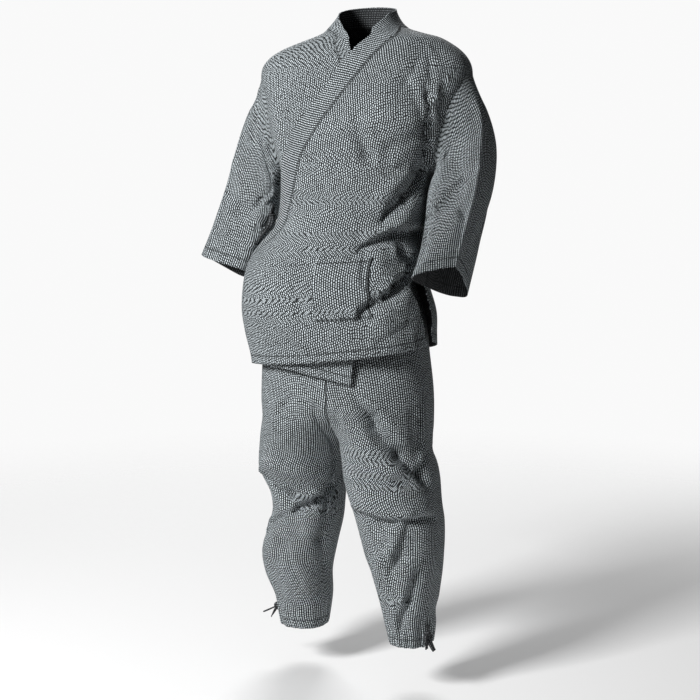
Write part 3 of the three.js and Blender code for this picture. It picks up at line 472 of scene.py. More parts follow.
# a sleeve goes over from the armhole into its own section
SLEEVE_JOIN = 0.16
SLEEVE_FORMED = 0.4
SLEEVE_CORNER_AT_TOP = 0.9
SLEEVE_CORNER_AT_CUFF = 0.5

WAIST = -462
WAISTBAND_HEIGHT = 34
WAIST_GATHERS = 46
WAIST_GATHER_DEPTH = 1.2
WAIST_GATHER_LIFT = 0.6
CROTCH_START = -780
CROTCH_END = -930
ANKLE_LEFT = -1316
ANKLE_RIGHT = -1330
LEG_SEAM_FADE = 6
LEG_SEAM_END = 1.02
JACKET_COVER = -730
JACKET_COVER_FADE = 60

# gathers at the ankles, deepest beside the knot: its turn and level on the left leg, 1, and the right one, -1
GATHERS = {1: (52, -1300), -1: (74, -1310)}
GATHER_DEPTH = 2.4
GATHER_HEIGHT = 75
GATHER_SPREAD = 60
GATHER_FAR_SHARE = 0.25
GATHERS_PER_DEGREE = 0.32
GATHER_WANDER = 1.5
GATHER_WANDER_PER_DEGREE = 0.11

# the pocket: its place on the grid of the left front, how far it stands off, and its hem
POCKET_SIDE_SHARE = 4.7 / 17
POCKET_EDGE_SHARE = 8.8 / 17
POCKET_TOP_ROW = 20
POCKET_LOW_ROW = 23
POCKET_LIFT = 2.6
POCKET_MOUTH_LIFT = 3
POCKET_MOUTH = 0.12
POCKET_HEM = 9

# rows of stitches, so many mm from an edge
EDGE_STITCH = 1
POCKET_STITCH = 2.5
COLLAR_STITCH = 3
BAND_STITCH = 4
JACKET_HEM = 18
CUFF_HEM = 22
ANKLE_HEM = 20
STITCH_LENGTH = 4.2
NO_STITCHES = 500

# quads down and across the pieces
LONG_ROWS = 190
JACKET_COLUMNS = 140
UNDER_COLUMNS = 110
LEG_COLUMNS = 90
SLEEVE_ROWS = 110
SLEEVE_COLUMNS = 120
COLLAR_POINTS_DOWN = 130
COLLAR_POINTS_AT_NECK = 50
COLLAR_COLUMNS = 14
POCKET_GRID = 40
BAND_ROWS = 12
BAND_COLUMNS = 240
EDGE_CROWDING = 0.035

# the ties: each a knot at a place and a height, with its loops and free ends, across, down and out from it
TIE_CLOTH = 1.6
TIE_WIDTH = 11
TIE_CUP = 1.2
TIE_NIP = 0.15
TIE_NIP_LENGTH = 0.1
TIE_TWIST = 0.6
TIE_TURNS = 2.2
LOOP_SWELL = 0.32
END_SWELL = 0.05
LOOP_POINTS = 41
END_POINTS = 25
KNOT_HALF = (8, 7.5, 6)
KNOT_POLE = 1.25
KNOT_RIPPLE = 0.1
END = "loop across down out"
JACKET_KNOT = {"turn": -73, "z": -390, "height": 12}
JACKET_TIE_ENDS = rows(END, """
1  -8  34  0
1  12  26  2
0 -12  52 -1
0   4  46  2
0  16 -22 -1
""")
ANKLE_KNOT_RIGHT = {"turn": 74, "z": -1296, "height": 6}
ANKLE_ENDS_RIGHT = rows(END, """
0   6  14 34
0  -4  26 18
0 -18   8  0
""")
ANKLE_KNOT_LEFT = {"turn": 52, "z": -1286, "height": 6}
ANKLE_ENDS_LEFT = rows(END, """
1  24   4  3
1 -22  10  3
0  22  34 20
0  -6  32  4
0   2 -22 -1
""")

# colours of the ground and of the woven dashes
CHARCOAL = (0.0095, 0.012, 0.013, 1)
PALE_THREAD = (0.80, 0.88, 0.92, 1)
# the inside's colours are a darker copy of the weave: painted shade for the cloth's inner faces, which lie in
# shadow
SHADED_INSIDE_GROUND = (0.01, 0.012, 0.013, 1)
SHADED_INSIDE_THREAD = (0.16, 0.17, 0.18, 1)
TIE_GROUND = (0.008, 0.009, 0.01, 1)
TIE_THREAD = (0.1, 0.11, 0.12, 1)
FLOOR_WHITE = (0.86, 0.86, 0.86, 1)


def lookup(table, key, column, at):
    """Smooth value of a column at places along another, clamped at both ends."""
    at = np.asarray(at, float)
    keys, values = table[key], table[column]
    if keys[0] > keys[-1]:
        keys, values = keys[::-1], values[::-1]
    k = np.clip(np.searchsorted(keys, at) - 1, 0, len(keys) - 2)
    before, after = np.maximum(k - 1, 0), np.minimum(k + 2, len(keys) - 1)
    span = keys[k + 1] - keys[k]
    u = np.clip((at - keys[k]) / span, 0, 1)
    slope_from = (values[k + 1] - values[before]) / (keys[k + 1] - keys[before]) * span
    slope_to = (values[after] - values[k]) / (keys[after] - keys[k]) * span
    u2, u3 = u * u, u * u * u
    return ((2 * u3 - 3 * u2 + 1) * values[k] + (u3 - 2 * u2 + u) * slope_from
            + (3 * u2 - 2 * u3) * values[k + 1] + (u3 - u2) * slope_to)


def straight(table, key, column, at):
    """Value of a column at places along another, on straight lines between its rows."""
    keys, values = table[key], table[column]
    return np.interp(at, keys[::-1], values[::-1]) if keys[0] > keys[-1] else np.interp(at, keys, values)


def smooth(value):
    u = np.clip(value, 0, 1)
    return u * u * (3 - 2 * u)


def mix(a, b, share):
    return a + (b - a) * share


def even(count):
    return np.linspace(0, 1, count + 1)


def close_to_edges(count):
    """Shares from 0 to 1 that crowd together near both ends."""
    s = even(count)
    return s - EDGE_CROWDING * np.sin(2 * math.pi * s)


def unit(vector):
    return vector / np.linalg.norm(vector, axis=-1, keepdims=True)


def relief(folds, across, along, ways, scale, sharp=False):
    """Height of all folds of a table; a sharp one is a crease with a ledge on the left of its line."""
    height = np.zeros(np.broadcast(across, along).shape)
    for k in range(len(folds["deep"])):
        ax, ay = folds[ways[0]][k] * scale[0], folds[ways[1]][k] * scale[1]
        bx = folds["to_" + ways[0]][k] * scale[0] - ax
        by = folds["to_" + ways[1]][k] * scale[1] - ay
        px, py = across * scale[0] - ax, along * scale[1] - ay
        share = np.clip((px * bx + py * by) / (bx * bx + by * by), 0, 1)
        near = np.hypot(px - bx * share, py - by * share) / folds["wide"][k]
        if sharp:
            signed = near * np.sign(bx * (py - by * share) - by * (px - bx * share))
            shape = np.exp(-near) - LEDGE * np.exp(-(((signed - LEDGE_PLACE) / LEDGE_PLACE) ** 2))
        else:
            shape = np.exp(-(near ** 2))
        height = height + folds["deep"][k] * shape
    return height


def ring(table, turn, z, lift):
    """Point of an oval section at a turn round it, lifted off it."""
    angle = np.asarray(turn) * DEGREE
    deep = np.where(np.cos(angle) > 0, lookup(table, "z", "fore", z), lookup(table, "z", "rear", z))
    side = np.abs(np.sin(angle)) / lookup(table, "z", "wide", z)
    front = np.abs(np.cos(angle)) / deep
    radius = (side ** SQUARENESS + front ** SQUARENESS) ** (-1 / SQUARENESS) + lift
    x = lookup(table, "z", "x", z) + radius * np.sin(angle)
    y = lookup(table, "z", "y", z) - radius * np.cos(angle)
    return np.stack(np.broadcast_arrays(x, y, z), axis=-1).astype(float)


# surfaces of the jacket: its body, the right front under the left one, the left front, and what lies on that
def torso_relief(turn, z):
    folds = relief(TORSO_FOLDS, turn, z, FOLD_WAYS, TORSO_FOLD_SCALE)
    return folds + relief(TORSO_CREASES, turn, z, FOLD_WAYS, TORSO_FOLD_SCALE, sharp=True)


def overlap_lift(turn, z):
    turn = np.where(turn > 180, turn - 360, turn)
    from_side = smooth((OVERLAP_SIDE_TURN - turn) / OVERLAP_SIDE_FADE)
    return OVERLAP_LIFT * from_side * smooth((OVERLAP_TOP - z) / OVERLAP_TOP_FADE)


def body(turn, z):
    return ring(TORSO, turn, z, torso_relief(turn, z))


def under(turn, z):
    from_side = smooth((turn - TUCK_TURN) / TUCK_TURN_FADE)
    tuck = -UNDER_TUCK * from_side * smooth((TUCK_TOP - z) / TUCK_TOP_FADE)
    return ring(TORSO, turn, z, torso_relief(turn, z) + tuck)


def on_jacket(turn, z, height):
    return ring(TORSO, turn, z, torso_relief(turn, z) + overlap_lift(turn, z) + height)


def over(turn, z):
    return on_jacket(turn, z, 0)


# grids of the jacket: the turn and the level at a row, and at a share from the side to the front edge
def armhole_angle(row):
    return np.clip((row - YOKE_ROWS) / ARMHOLE_ROWS, 0, 1) * math.pi


def in_armhole(row):
    return (row > YOKE_ROWS) & (row < UNDERARM_ROW)


def armhole_turn(angle, z):
    """How far round the body the armhole's edge lies from the side."""
    wide = lookup(TORSO, "z", "wide", z)
    depth = ARMHOLE_HALF_DEPTH * np.abs(np.sin(angle))
    side = wide * (1 - (depth / lookup(TORSO, "z", "fore", z)) ** SQUARENESS) ** (1 / SQUARENESS)
    return 90 - np.arctan2(side, depth) / DEGREE


def row_level(row, hem):
    yoke = np.interp(row, np.arange(len(YOKE_LEVELS)), YOKE_LEVELS)
    hole = ARMHOLE_MIDDLE + ARMHOLE_HALF_HEIGHT * np.cos(armhole_angle(row))
    skirt = mix(UNDERARM, hem, (row - UNDERARM_ROW) / SKIRT_ROWS)
    return np.where(row < YOKE_ROWS, yoke, np.where(row <= UNDERARM_ROW, hole, skirt))


def left_side(row, z):
    seam = np.where(z < UNDERARM, straight(SIDE_FRONT_LEFT, "z", "turn", z), 90)
    return np.where(in_armhole(row), 90 - armhole_turn(armhole_angle(row), z), seam)


def right_side(row, z):
    seam = straight(SIDE_RIGHT, "z", "turn", z) - 90
    return np.where(in_armhole(row), armhole_turn(armhole_angle(row), z) - 90, seam)


def over_edge(z):
    low = lookup(FREE_EDGE_OVER, "z", "turn", z)
    return np.where(z > FREE_EDGE_OVER["z"][0], lookup(COLLAR_OVER, "z", "seam", z), low)


def under_edge(z):
    low = lookup(FREE_EDGE_UNDER, "z", "turn", z)
    return np.where(z > FREE_EDGE_UNDER["z"][0], lookup(COLLAR_UNDER, "z", "seam", z), low)


def spread_turn(share, side, edge, home, z):
    """Turn at a share across a front, which keeps its home place in the middle of the skirt."""
    near_side = np.maximum(0, 1 - share / SIDE_SHARE)
    near_edge = np.maximum(0, 1 - (1 - share) / EDGE_SHARE)
    steady = mix(home[0], home[1], share) + (side - home[0]) * near_side + (edge - home[1]) * near_edge
    return mix(mix(side, edge, share), steady, smooth((UNDERARM - z) / STEADY_DROP))


def front_grid(row, share, hem, edge, side, home):
    """The hem's level follows from the turn and the turn from the level, so both are found in rounds."""
    turn = np.zeros(np.broadcast(row, share).shape)
    for _ in range(HEM_ROUNDS):
        z = row_level(row, lookup(hem, "turn", "z", turn))
        turn = spread_turn(share, side(row, z), edge(z), home, z)
    return turn, z


def over_grid(row, share):
    return front_grid(row, share, HEM_OVER, over_edge, left_side, HOME_OVER)


def under_grid(row, share):
    return front_grid(row, share, HEM_UNDER, under_edge, right_side, HOME_UNDER)


def back_grid(row, share):
    z = row_level(row, lookup(HEM_BACK, "turn", "z", mix(90, 270, share)))
    open_turn = armhole_turn(armhole_angle(row), z)
    left = np.where(z < UNDERARM, straight(SIDE_BACK_LEFT, "z", "turn", z) - 90, 0)
    right = np.where(z < UNDERARM, straight(SIDE_RIGHT, "z", "turn", z), 0)
    left = np.where(in_armhole(row), open_turn, left)
    right = np.where(in_armhole(row), open_turn, right)
    return mix(90 + left, 270 - right, share), z


def corner(table, name, t):
    return np.stack([lookup(table, "t", name + axis, t) for axis in ("_x", "_y", "_z")], axis=-1)


def sleeve(table, folds, creases, side, turn, t):
    """Point of a sleeve: the armhole at its top, then a rounded section with four corners."""
    angle = turn * DEGREE
    c, s = np.cos(angle), np.sin(angle)
    power = mix(SLEEVE_CORNER_AT_TOP, SLEEVE_CORNER_AT_CUFF, smooth(t / SLEEVE_FORMED))
    out = (1 + np.sign(c) * np.abs(c) ** power)[..., None] / 2
    fore = (1 + np.sign(s) * np.abs(s) ** power)[..., None] / 2
    corners = [corner(table, name, t) for name in ("bi", "bo", "fi", "fo")]
    free = mix(mix(corners[0], corners[1], out), mix(corners[2], corners[3], out), fore)
    away = unit(free - sum(corners) / 4)
    around = np.mod(turn + 180, 360) - 180
    height = relief(folds, around, t, SLEEVE_FOLD_WAYS, SLEEVE_FOLD_SCALE)
    height = height + relief(creases, around, t, SLEEVE_FOLD_WAYS, SLEEVE_FOLD_SCALE, sharp=True)
    free = free + away * height[..., None]
    free[..., 0] *= side
    level = ARMHOLE_MIDDLE + ARMHOLE_HALF_HEIGHT * c
    off = armhole_turn(angle, level)
    joined = body(side * (90 - np.where(s > 0, off, -off)), level)
    share = smooth(t / SLEEVE_JOIN)[..., None]
    return np.where(share < 1, joined * (1 - share) + free * share, free)


def ankle_gathers(side, turn, z):
    knot_turn, level = GATHERS[side]
    near_knot = np.exp(-(((turn - knot_turn) / GATHER_SPREAD) ** 2)) + GATHER_FAR_SHARE
    wander = GATHER_WANDER * np.sin(turn * GATHER_WANDER_PER_DEGREE)
    pleats = GATHER_DEPTH * np.sin(turn * GATHERS_PER_DEGREE + wander)
    return pleats * near_knot * smooth((level + GATHER_HEIGHT - z) / GATHER_HEIGHT)


def leg(table, folds, creases, side, front, share, z):
    """Point of a leg, at a share from its inner seam to its side seam."""
    hip_turn = side * 90 * share if front else side * (180 - 90 * share)
    hip = ring(HIPS, hip_turn, z, 0)
    turn = mix(-90, 90, share) if front else mix(270, 90, share)
    leg_z = np.minimum(z, table["z"][0])
    calf = ring(table, side * turn, leg_z, 0)
    calf[..., 2] = z
    point = mix(hip, calf, smooth((CROTCH_START - z) / (CROTCH_START - CROTCH_END))[..., None])
    middle = [lookup(table, "z", "x", leg_z), lookup(table, "z", "y", leg_z), z]
    away = point - np.stack(np.broadcast_arrays(*middle), axis=-1)
    away[..., 2] = 0
    away = unit(away)
    bulge = relief(folds, turn, z, FOLD_WAYS, LEG_FOLD_SCALE)
    bulge = bulge + relief(creases, turn, z, FOLD_WAYS, LEG_FOLD_SCALE, sharp=True)
    bulge = bulge * smooth(LEG_SEAM_FADE * share * (LEG_SEAM_END - share))
    bulge = bulge * smooth((JACKET_COVER - z) / JACKET_COVER_FADE)
    return point + away * (bulge + ankle_gathers(side, turn, z))[..., None]


class Val:
    """A socket of a shader, with arithmetic that makes the Math nodes."""

    def __init__(self, shader, socket):
        self.shader, self.socket = shader, socket

    def math(self, operation, *others):
        values = dict(enumerate((self,) + others))
        return self.shader.node("ShaderNodeMath", {"operation": operation}, values)

    def __add__(self, other):
        return self.math("ADD", other)

    def __radd__(self, other):
        return self.math("ADD", other)

    def __sub__(self, other):
        return self.math("SUBTRACT", other)

    def __rsub__(self, other):
        return self.shader.value(other).math("SUBTRACT", self)

    def __mul__(self, other):
        return self.math("MULTIPLY", other)

    def __rmul__(self, other):
        return self.math("MULTIPLY", other)

    def __truediv__(self, other):
        return self.math("DIVIDE", other)

    def __rtruediv__(self, other):
        return self.shader.value(other).math("DIVIDE", self)

    def __mod__(self, other):
        return self.math("FLOORED_MODULO", other)

    def __abs__(self):
        return self.math("ABSOLUTE")

    def floor(self):
        return self.math("FLOOR")

    def sin(self):
        return self.math("SINE")

    def band(self, low, high):
        """0 below low, 1 above high, soft between."""
        return self.shader.node("ShaderNodeMapRange", {"interpolation_type": "SMOOTHSTEP"},
                                {"Value": self, "From Min": low, "From Max": high})


class Shader:
    """A material's node tree, with its principled shader ready."""

    def __init__(self, name, **constants):
        self.material = bpy.data.materials.new(name)
        self.material.use_nodes = True
        self.tree = self.material.node_tree
        self.surface = self.tree.nodes["Principled BSDF"]
        for socket, value in constants.items():
            self.surface.inputs[socket.replace("_", " ")].default_value = value

    def value(self, number):
        node = self.tree.nodes.new("ShaderNodeValue")
        node.outputs[0].default_value = number
        return Val(self, node.outputs[0])

    def node(self, kind, settings=None, inputs=None, output=0):
        node = self.tree.nodes.new(kind)
        for name, value in (settings or {}).items():
            setattr(node, name, value)
        for name, value in (inputs or {}).items():
            if isinstance(value, Val):
                self.tree.links.new(value.socket, node.inputs[name])
            else:
                node.inputs[name].default_value = value
        return Val(self, node.outputs[output])

    def flat_place(self, layer):
        """A layer's map of the cloth and its two ways, in mm."""
        place = self.node("ShaderNodeUVMap", {"uv_map": layer})
        first = self.node("ShaderNodeSeparateXYZ", None, {0: place})
        return place, first, Val(self, first.socket.node.outputs[1])

    def noise(self, place, scale, detail):
        return self.node("ShaderNodeTexNoise", {"noise_dimensions": "2D"},
                         {"Vector": place, "Scale": scale, "Detail": detail})

    def mix_colour(self, factor, first, second, blend="MIX"):
        return self.node("ShaderNodeMix", {"data_type": "RGBA", "blend_type": blend},
                         {0: factor, 6: first, 7: second}, output=2)

    def set(self, socket, value):
        self.tree.links.new(value.socket, self.surface.inputs[socket])


def woven(name, ground, thread, across=5.0, along=5.5, turned=False):
    """Pale dashes in staggered columns on a dark ground, laid out in mm of cloth, and rows of stitches, each
    in a groove that is darkened with painted shade.
    """
    half_wide, half_long, soft = 0.18, 0.3, 0.06
    rib_pitch = 1.3
    sh = Shader(name, Roughness=0.92, Metallic=0.0)

    place, u, v = sh.flat_place("cloth")
    if turned:
        u, v = v, u
    u = u + (sh.noise(place, scale=0.02, detail=2.0) - 0.5) * 3.0
    v = v + (sh.noise(place, scale=0.09, detail=1.0) - 0.5) * 5.0
    column = (u / across).floor()
    row = v / along + (column % 2) * 0.5
    from_middle = abs(u / across - column - 0.5)
    from_end = abs(row % 1 - 0.5)
    dash = 1 - from_middle.band(half_wide - soft, half_wide + soft)
    dash = dash * (1 - from_end.band(half_long - soft, half_long + soft))
    dash_index = sh.node("ShaderNodeCombineXYZ", None, {0: column, 1: row.floor()})
    uneven = sh.node("ShaderNodeTexWhiteNoise", {"noise_dimensions": "2D"}, {"Vector": dash_index})
    mottle = sh.noise(place, scale=0.35, detail=3.0)

    _, across_seam, along_seam = sh.flat_place("stitch")
    off = abs(across_seam)
    groove_and_painted_shade = 1 - off.band(0.5, 2.2)
    sewn = (1 - off.band(0.4, 0.9)) * abs(along_seam / STITCH_LENGTH % 1 - 0.5).band(0.1, 0.2)

    colour = sh.mix_colour(dash * (0.42 + mottle * 0.6 + uneven * 0.5), ground, thread)
    # painted shade: the colour goes over to the dark ground in the groove along each row of stitches
    colour = sh.mix_colour(groove_and_painted_shade * 0.75, colour, ground)
    shade = 0.84 + sh.noise(place, scale=0.012, detail=2.0) * 0.32
    grey = sh.node("ShaderNodeCombineXYZ", None, {0: shade, 1: shade, 2: shade})
    sh.set("Base Color", sh.mix_colour(1.0, colour, grey, "MULTIPLY"))

    ribs = ((v * (2 * math.pi / rib_pitch)).sin() * 0.5 + 0.5) * 0.25
    height = dash + ribs + mottle * 0.3 - groove_and_painted_shade * 2 + sewn * 1.5
    bump = {"Strength": 0.4, "Distance": 0.0006, "Height": height}
    sh.set("Normal", sh.node("ShaderNodeBump", None, bump))
    return sh.material


def lengths(points):
    """Distances in mm along each row and down each column of a grid, from its first ones."""
    along_row = np.cumsum(np.linalg.norm(np.diff(points, axis=1), axis=-1), axis=1)
    down = np.cumsum(np.linalg.norm(np.diff(points, axis=0), axis=-1), axis=0)
    return np.pad(along_row, ((0, 0), (1, 0))), np.pad(down, ((1, 0), (0, 0)))


def laid_flat(points, start_row, start_columns):
    """The cloth's own two ways in mm, from one row of the grid and from a column of each row."""
    across, down = lengths(points)
    start = across[np.arange(len(points)), start_columns][:, None]
    return across - start, down[start_row] - down


def stitch_lines(points, first_row=None, last_row=None, first_column=None, last_column=None):
    """Distance to the nearest row of stitches and the way along it; each is so many mm from its edge."""
    across, down = lengths(points)
    lines = [(np.full(across.shape, NO_STITCHES), across)]
    if first_row:
        lines.append((down - first_row, across))
    if last_row:
        lines.append((down[-1] - down - last_row, across))
    if first_column:
        lines.append((across - first_column, down))
    if last_column:
        lines.append((across[:, -1:] - across - last_column, down))
    distance = np.stack([line[0] for line in lines])
    nearest = np.argmin(np.abs(distance), axis=0)[None]
    along = np.stack([line[1] for line in lines])
    return np.take_along_axis(distance, nearest, 0)[0], np.take_along_axis(along, nearest, 0)[0]


def grid_quads(points, outward):
    """Quads of a grid by the numbers of its points, all turned to face away from the middle of its rows."""
    count_v, count_u = points.shape[:2]
    index = np.arange(count_v * count_u).reshape(count_v, count_u)
    quads = np.stack([index[:-1, :-1], index[:-1, 1:], index[1:, 1:], index[1:, :-1]], axis=-1)
    quads = quads.reshape(-1, 4)
    flat = points.reshape(-1, 3)
    first = flat[quads[:, 0]]
    normal = np.cross(flat[quads[:, 1]] - first, flat[quads[:, 3]] - first)
    middle = points.mean(axis=1)[np.repeat(np.arange(count_v - 1), count_u - 1)]
    faces_in = np.sum(normal * (first - middle)) < 0
    return quads[:, ::-1] if outward and faces_in else quads


def cloth_piece(node, grids, material, thickness, outward=True):
    """A shell through grids of points, each with its flat ways and its stitches, for one CAD node."""
    mesh = bpy.data.meshes.new(node + "_cloth")
    places, faces, flat_ways, stitch_ways, count = [], [], [], [], 0
    for points, flat, stitches in grids:
        faces.append(grid_quads(points, outward) + count)
        places.append(points.reshape(-1, 3))
        flat_ways.append(np.stack(flat, axis=-1).reshape(-1, 2))
        stitch_ways.append(np.stack(stitches, axis=-1).reshape(-1, 2))
        count += len(places[-1])
    mesh.from_pydata((np.concatenate(places) * MM).tolist(), [], np.concatenate(faces).tolist())
    loops = np.zeros(len(mesh.loops), dtype=int)
    mesh.loops.foreach_get("vertex_index", loops)
    for layer, ways in (("cloth", flat_ways), ("stitch", stitch_ways)):
        mesh.uv_layers.new(name=layer).data.foreach_set("uv", np.concatenate(ways)[loops].reshape(-1))
    mesh.polygons.foreach_set("use_smooth", [True] * len(mesh.polygons))
    mesh.materials.append(material)
    # the second slot holds the weave with painted shade, which the inner faces of the shell get
    mesh.materials.append(shaded_inside_material)
    piece = bpy.data.objects.new(node + "_cloth", mesh)
    bpy.context.scene.collection.objects.link(piece)
    wall = piece.modifiers.new("thickness", "SOLIDIFY")
    wall.thickness = thickness * MM
    wall.offset = -1
    wall.use_even_offset = False
    wall.material_offset = 1
    wall.material_offset_rim = 0
    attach(piece, "root")
    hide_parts(node)
    return piece


def declare_cloth(points):
    """Measures the area of a piece's grid; nothing uses the result."""
    a, b, c = points[:-1, :-1], points[1:, :-1], points[:-1, 1:]
    area = float(np.sum(np.linalg.norm(np.cross(b - a, c - a), axis=-1))) * MM * MM


def panel(name, surface, grid, columns, start_turn, **stitches):
    """A front or the back; its weave is laid out from the underarm's row and from a turn."""
    rows_down = np.linspace(0, UNDERARM_ROW + SKIRT_ROWS, LONG_ROWS + 1)
    row, share = np.meshgrid(rows_down, close_to_edges(columns), indexing="ij")
    turn, z = grid(row, share)
    points = surface(turn, z)
    start_columns = np.argmin(np.abs(turn - start_turn), axis=1)
    start_row = int(np.argmin(np.abs(rows_down - UNDERARM_ROW)))
    grids = [(points, laid_flat(points, start_row, start_columns), stitch_lines(points, **stitches))]
    piece = cloth_piece(name, grids, cloth_material, CLOTH)
    declare_cloth(points)


def collar_stations():
    """Seam turn and level, edge turn and level: up the left front, round the neck, down the right front."""
    row = np.linspace(COLLAR_END_ROW, 0, COLLAR_POINTS_DOWN)
    turn, z = over_grid(row, np.ones_like(row))
    up = [turn, z, lookup(COLLAR_OVER, "z", "edge", z), lookup(COLLAR_OVER, "z", "edge_z", z)]
    share = even(COLLAR_POINTS_AT_NECK + 1)[1:-1]
    edge_turn = mix(EDGE_AT_NECK, 360 - EDGE_AT_NECK, share)
    height = mix(COLLAR_SIDE_HEIGHT, COLLAR_BACK_HEIGHT, np.sin(share * math.pi))
    round_neck = [mix(turn[-1], 360 - turn[-1], share), np.full_like(share, NECK_SEAM), edge_turn, height]
    turn, z = under_grid(row[::-1], np.ones_like(row))
    edge_turn = lookup(COLLAR_UNDER, "z", "edge", z) + 360
    down = [turn + 360, z, edge_turn, lookup(COLLAR_UNDER, "z", "edge_z", z)]
    return np.concatenate([np.stack(stretch, -1) for stretch in (up, round_neck, down)])


def collar_piece():
    stations = collar_stations()
    across = even(COLLAR_COLUMNS)
    turn = mix(stations[:, :1], stations[:, 2:3], across)
    z = mix(stations[:, 1:2], stations[:, 3:], across)
    points = np.where((turn < 180)[..., None], over(turn, z), body(turn - 360, z))
    points = np.where((turn > 270)[..., None], under(turn - 360, z), points)
    flat = laid_flat(points, 0, np.zeros(len(points), dtype=int))
    grids = [(points, flat, stitch_lines(points, first_column=COLLAR_STITCH))]
    piece = cloth_piece("jacket_collar", grids, collar_material, BAND_CLOTH)
    declare_cloth(points)


def pocket_piece():
    row = mix(POCKET_TOP_ROW, POCKET_LOW_ROW, even(POCKET_GRID))
    share = mix(POCKET_SIDE_SHARE, POCKET_EDGE_SHARE, even(POCKET_GRID))
    row, share = np.meshgrid(row, share, indexing="ij")
    turn, z = over_grid(row, share)
    from_mouth = (row - POCKET_TOP_ROW) / (POCKET_LOW_ROW - POCKET_TOP_ROW)
    points = on_jacket(turn, z, POCKET_LIFT + POCKET_MOUTH_LIFT * (1 - smooth(from_mouth / POCKET_MOUTH)))
    flat = laid_flat(points, 0, np.argmin(np.abs(turn - 60), axis=1))
    stitches = stitch_lines(points, first_row=POCKET_HEM, last_row=POCKET_STITCH, first_column=POCKET_STITCH)
    piece = cloth_piece("jacket_pocket", [(points, flat, stitches)], cloth_material, CLOTH)
    declare_cloth(points)


def sleeve_piece(name, table, folds, creases, side):
    """A sleeve, all round from its inner side, where its seam is."""
    t, turn = np.meshgrid(even(SLEEVE_ROWS), np.linspace(180, 540, SLEEVE_COLUMNS + 1), indexing="ij")
    points = sleeve(table, folds, creases, side, turn, t)
    flat = laid_flat(points, 0, np.full(len(points), SLEEVE_COLUMNS // 2))
    grids = [(points, flat, stitch_lines(points, last_row=CUFF_HEM))]
    piece = cloth_piece(name, grids, cloth_material, CLOTH)
    declare_cloth(points)


def leg_piece(name, table, folds, creases, side, front, ankle):
    down, share = np.meshgrid(even(LONG_ROWS), close_to_edges(LEG_COLUMNS), indexing="ij")
    points = leg(table, folds, creases, side, front, share, mix(WAIST, ankle, down))
    flat = laid_flat(points, LONG_ROWS // 2, np.full(len(points), LEG_COLUMNS))
    stitches = stitch_lines(points, last_row=ANKLE_HEM, first_column=EDGE_STITCH if front else None)
    piece = cloth_piece(name, [(points, flat, stitches)], cloth_material, CLOTH)
    declare_cloth(points)


def band_piece():
    level = np.linspace(WAIST, WAIST + WAISTBAND_HEIGHT, BAND_ROWS + 1)
    z, turn = np.meshgrid(level, np.linspace(0, 360, BAND_COLUMNS + 1), indexing="ij")
    gathers = WAIST_GATHER_DEPTH * np.sin(turn * DEGREE * WAIST_GATHERS) + WAIST_GATHER_LIFT
    points = ring(HIPS, turn, z, gathers)
    flat = laid_flat(points, 0, np.zeros(len(points), dtype=int))
    grids = [(points, flat, stitch_lines(points, first_row=BAND_STITCH, last_row=BAND_STITCH))]
    piece = cloth_piece("trouser_waistband", grids, cloth_material, BAND_CLOTH)
    declare_cloth(points)


def ribbon(path, width_way, width):
    """A grid of points across a flat band that follows a path, a little cupped."""
    ahead = unit(np.gradient(path, axis=0))
    wide = unit(width_way - ahead * np.sum(width_way * ahead, axis=-1, keepdims=True))
    thick = np.cross(ahead, wide)
    across = np.linspace(-1, 1, 7)[None, :, None]
    return path[:, None] + wide[:, None] * across * width / 2 - thick[:, None] * TIE_CUP * across ** 2


def knot_ball(centre, ways):
    """A rippled ball for a knot, with its ways across, down and out."""
    turns = np.linspace(0, 2 * math.pi, 33)
    turns, rise = np.meshgrid(turns, np.linspace(-KNOT_POLE, KNOT_POLE, 15), indexing="ij")
    ripple = 1 + KNOT_RIPPLE * np.sin(3 * turns + 4 * rise)
    half_across, half_down, half_out = KNOT_HALF
    shape = [np.cos(rise) * np.cos(turns) * half_across * ripple,
             np.sin(rise) * half_down,
             np.cos(rise) * np.sin(turns) * half_out * ripple]
    return centre + sum(part[..., None] * way for part, way in zip(shape, ways))


def strand(at, centre, out, number, loop, across, fall, away):
    """A loop, which comes back to the knot, or a free end, which twists a little on its way."""
    s = np.linspace(0, 1, LOOP_POINTS if loop else END_POINTS)
    reach = np.sin(math.pi * s) if loop else s
    swell = LOOP_SWELL * np.sin(2 * math.pi * s) if loop else END_SWELL * np.sin(math.pi * s)
    path = at(across * reach - fall * swell, fall * reach + across * swell, away * reach)
    if loop:
        width_way = np.broadcast_to(out, path.shape)
    else:
        flat_way = np.broadcast_to(np.cross(out, at(across, fall, 0.0) - centre), path.shape)
        width_way = unit(flat_way) + out * (TIE_TWIST * np.sin(TIE_TURNS * s + number))[:, None]
    nip = 1 - TIE_NIP * np.exp(-s / TIE_NIP_LENGTH)
    return ribbon(path, width_way, TIE_WIDTH * nip[:, None, None])


def tie_piece(name, surface, knot, ends, side):
    """A knot with its loops and free ends, laid out on a surface."""
    def at(across, down, out):
        turn = knot["turn"] + side * np.asarray(across) / MM_PER_DEGREE
        return surface(turn, knot["z"] - np.asarray(down, float), knot["height"] + np.asarray(out, float))

    centre = at(0.0, 0.0, 0.0)
    out = unit(at(0.0, 0.0, 4.0) - centre)
    down = at(0.0, 4.0, 0.0) - centre
    down = unit(down - out * np.dot(down, out))
    strands = [strand(at, centre, out, number, *end)
               for number, end in enumerate(zip(*(ends[column] for column in END.split())))]
    sheets = [knot_ball(centre, (np.cross(out, down), down, out))] + strands
    grids = [(points, laid_flat(points, 0, np.zeros(len(points), dtype=int)), stitch_lines(points))
             for points in sheets]
    piece = cloth_piece(name, grids, tie_material, TIE_CLOTH, outward=False)


def leg_surface(table, side):
    def surface(turn, z, height):
        return ring(table, side * turn, z, height)
    return surface


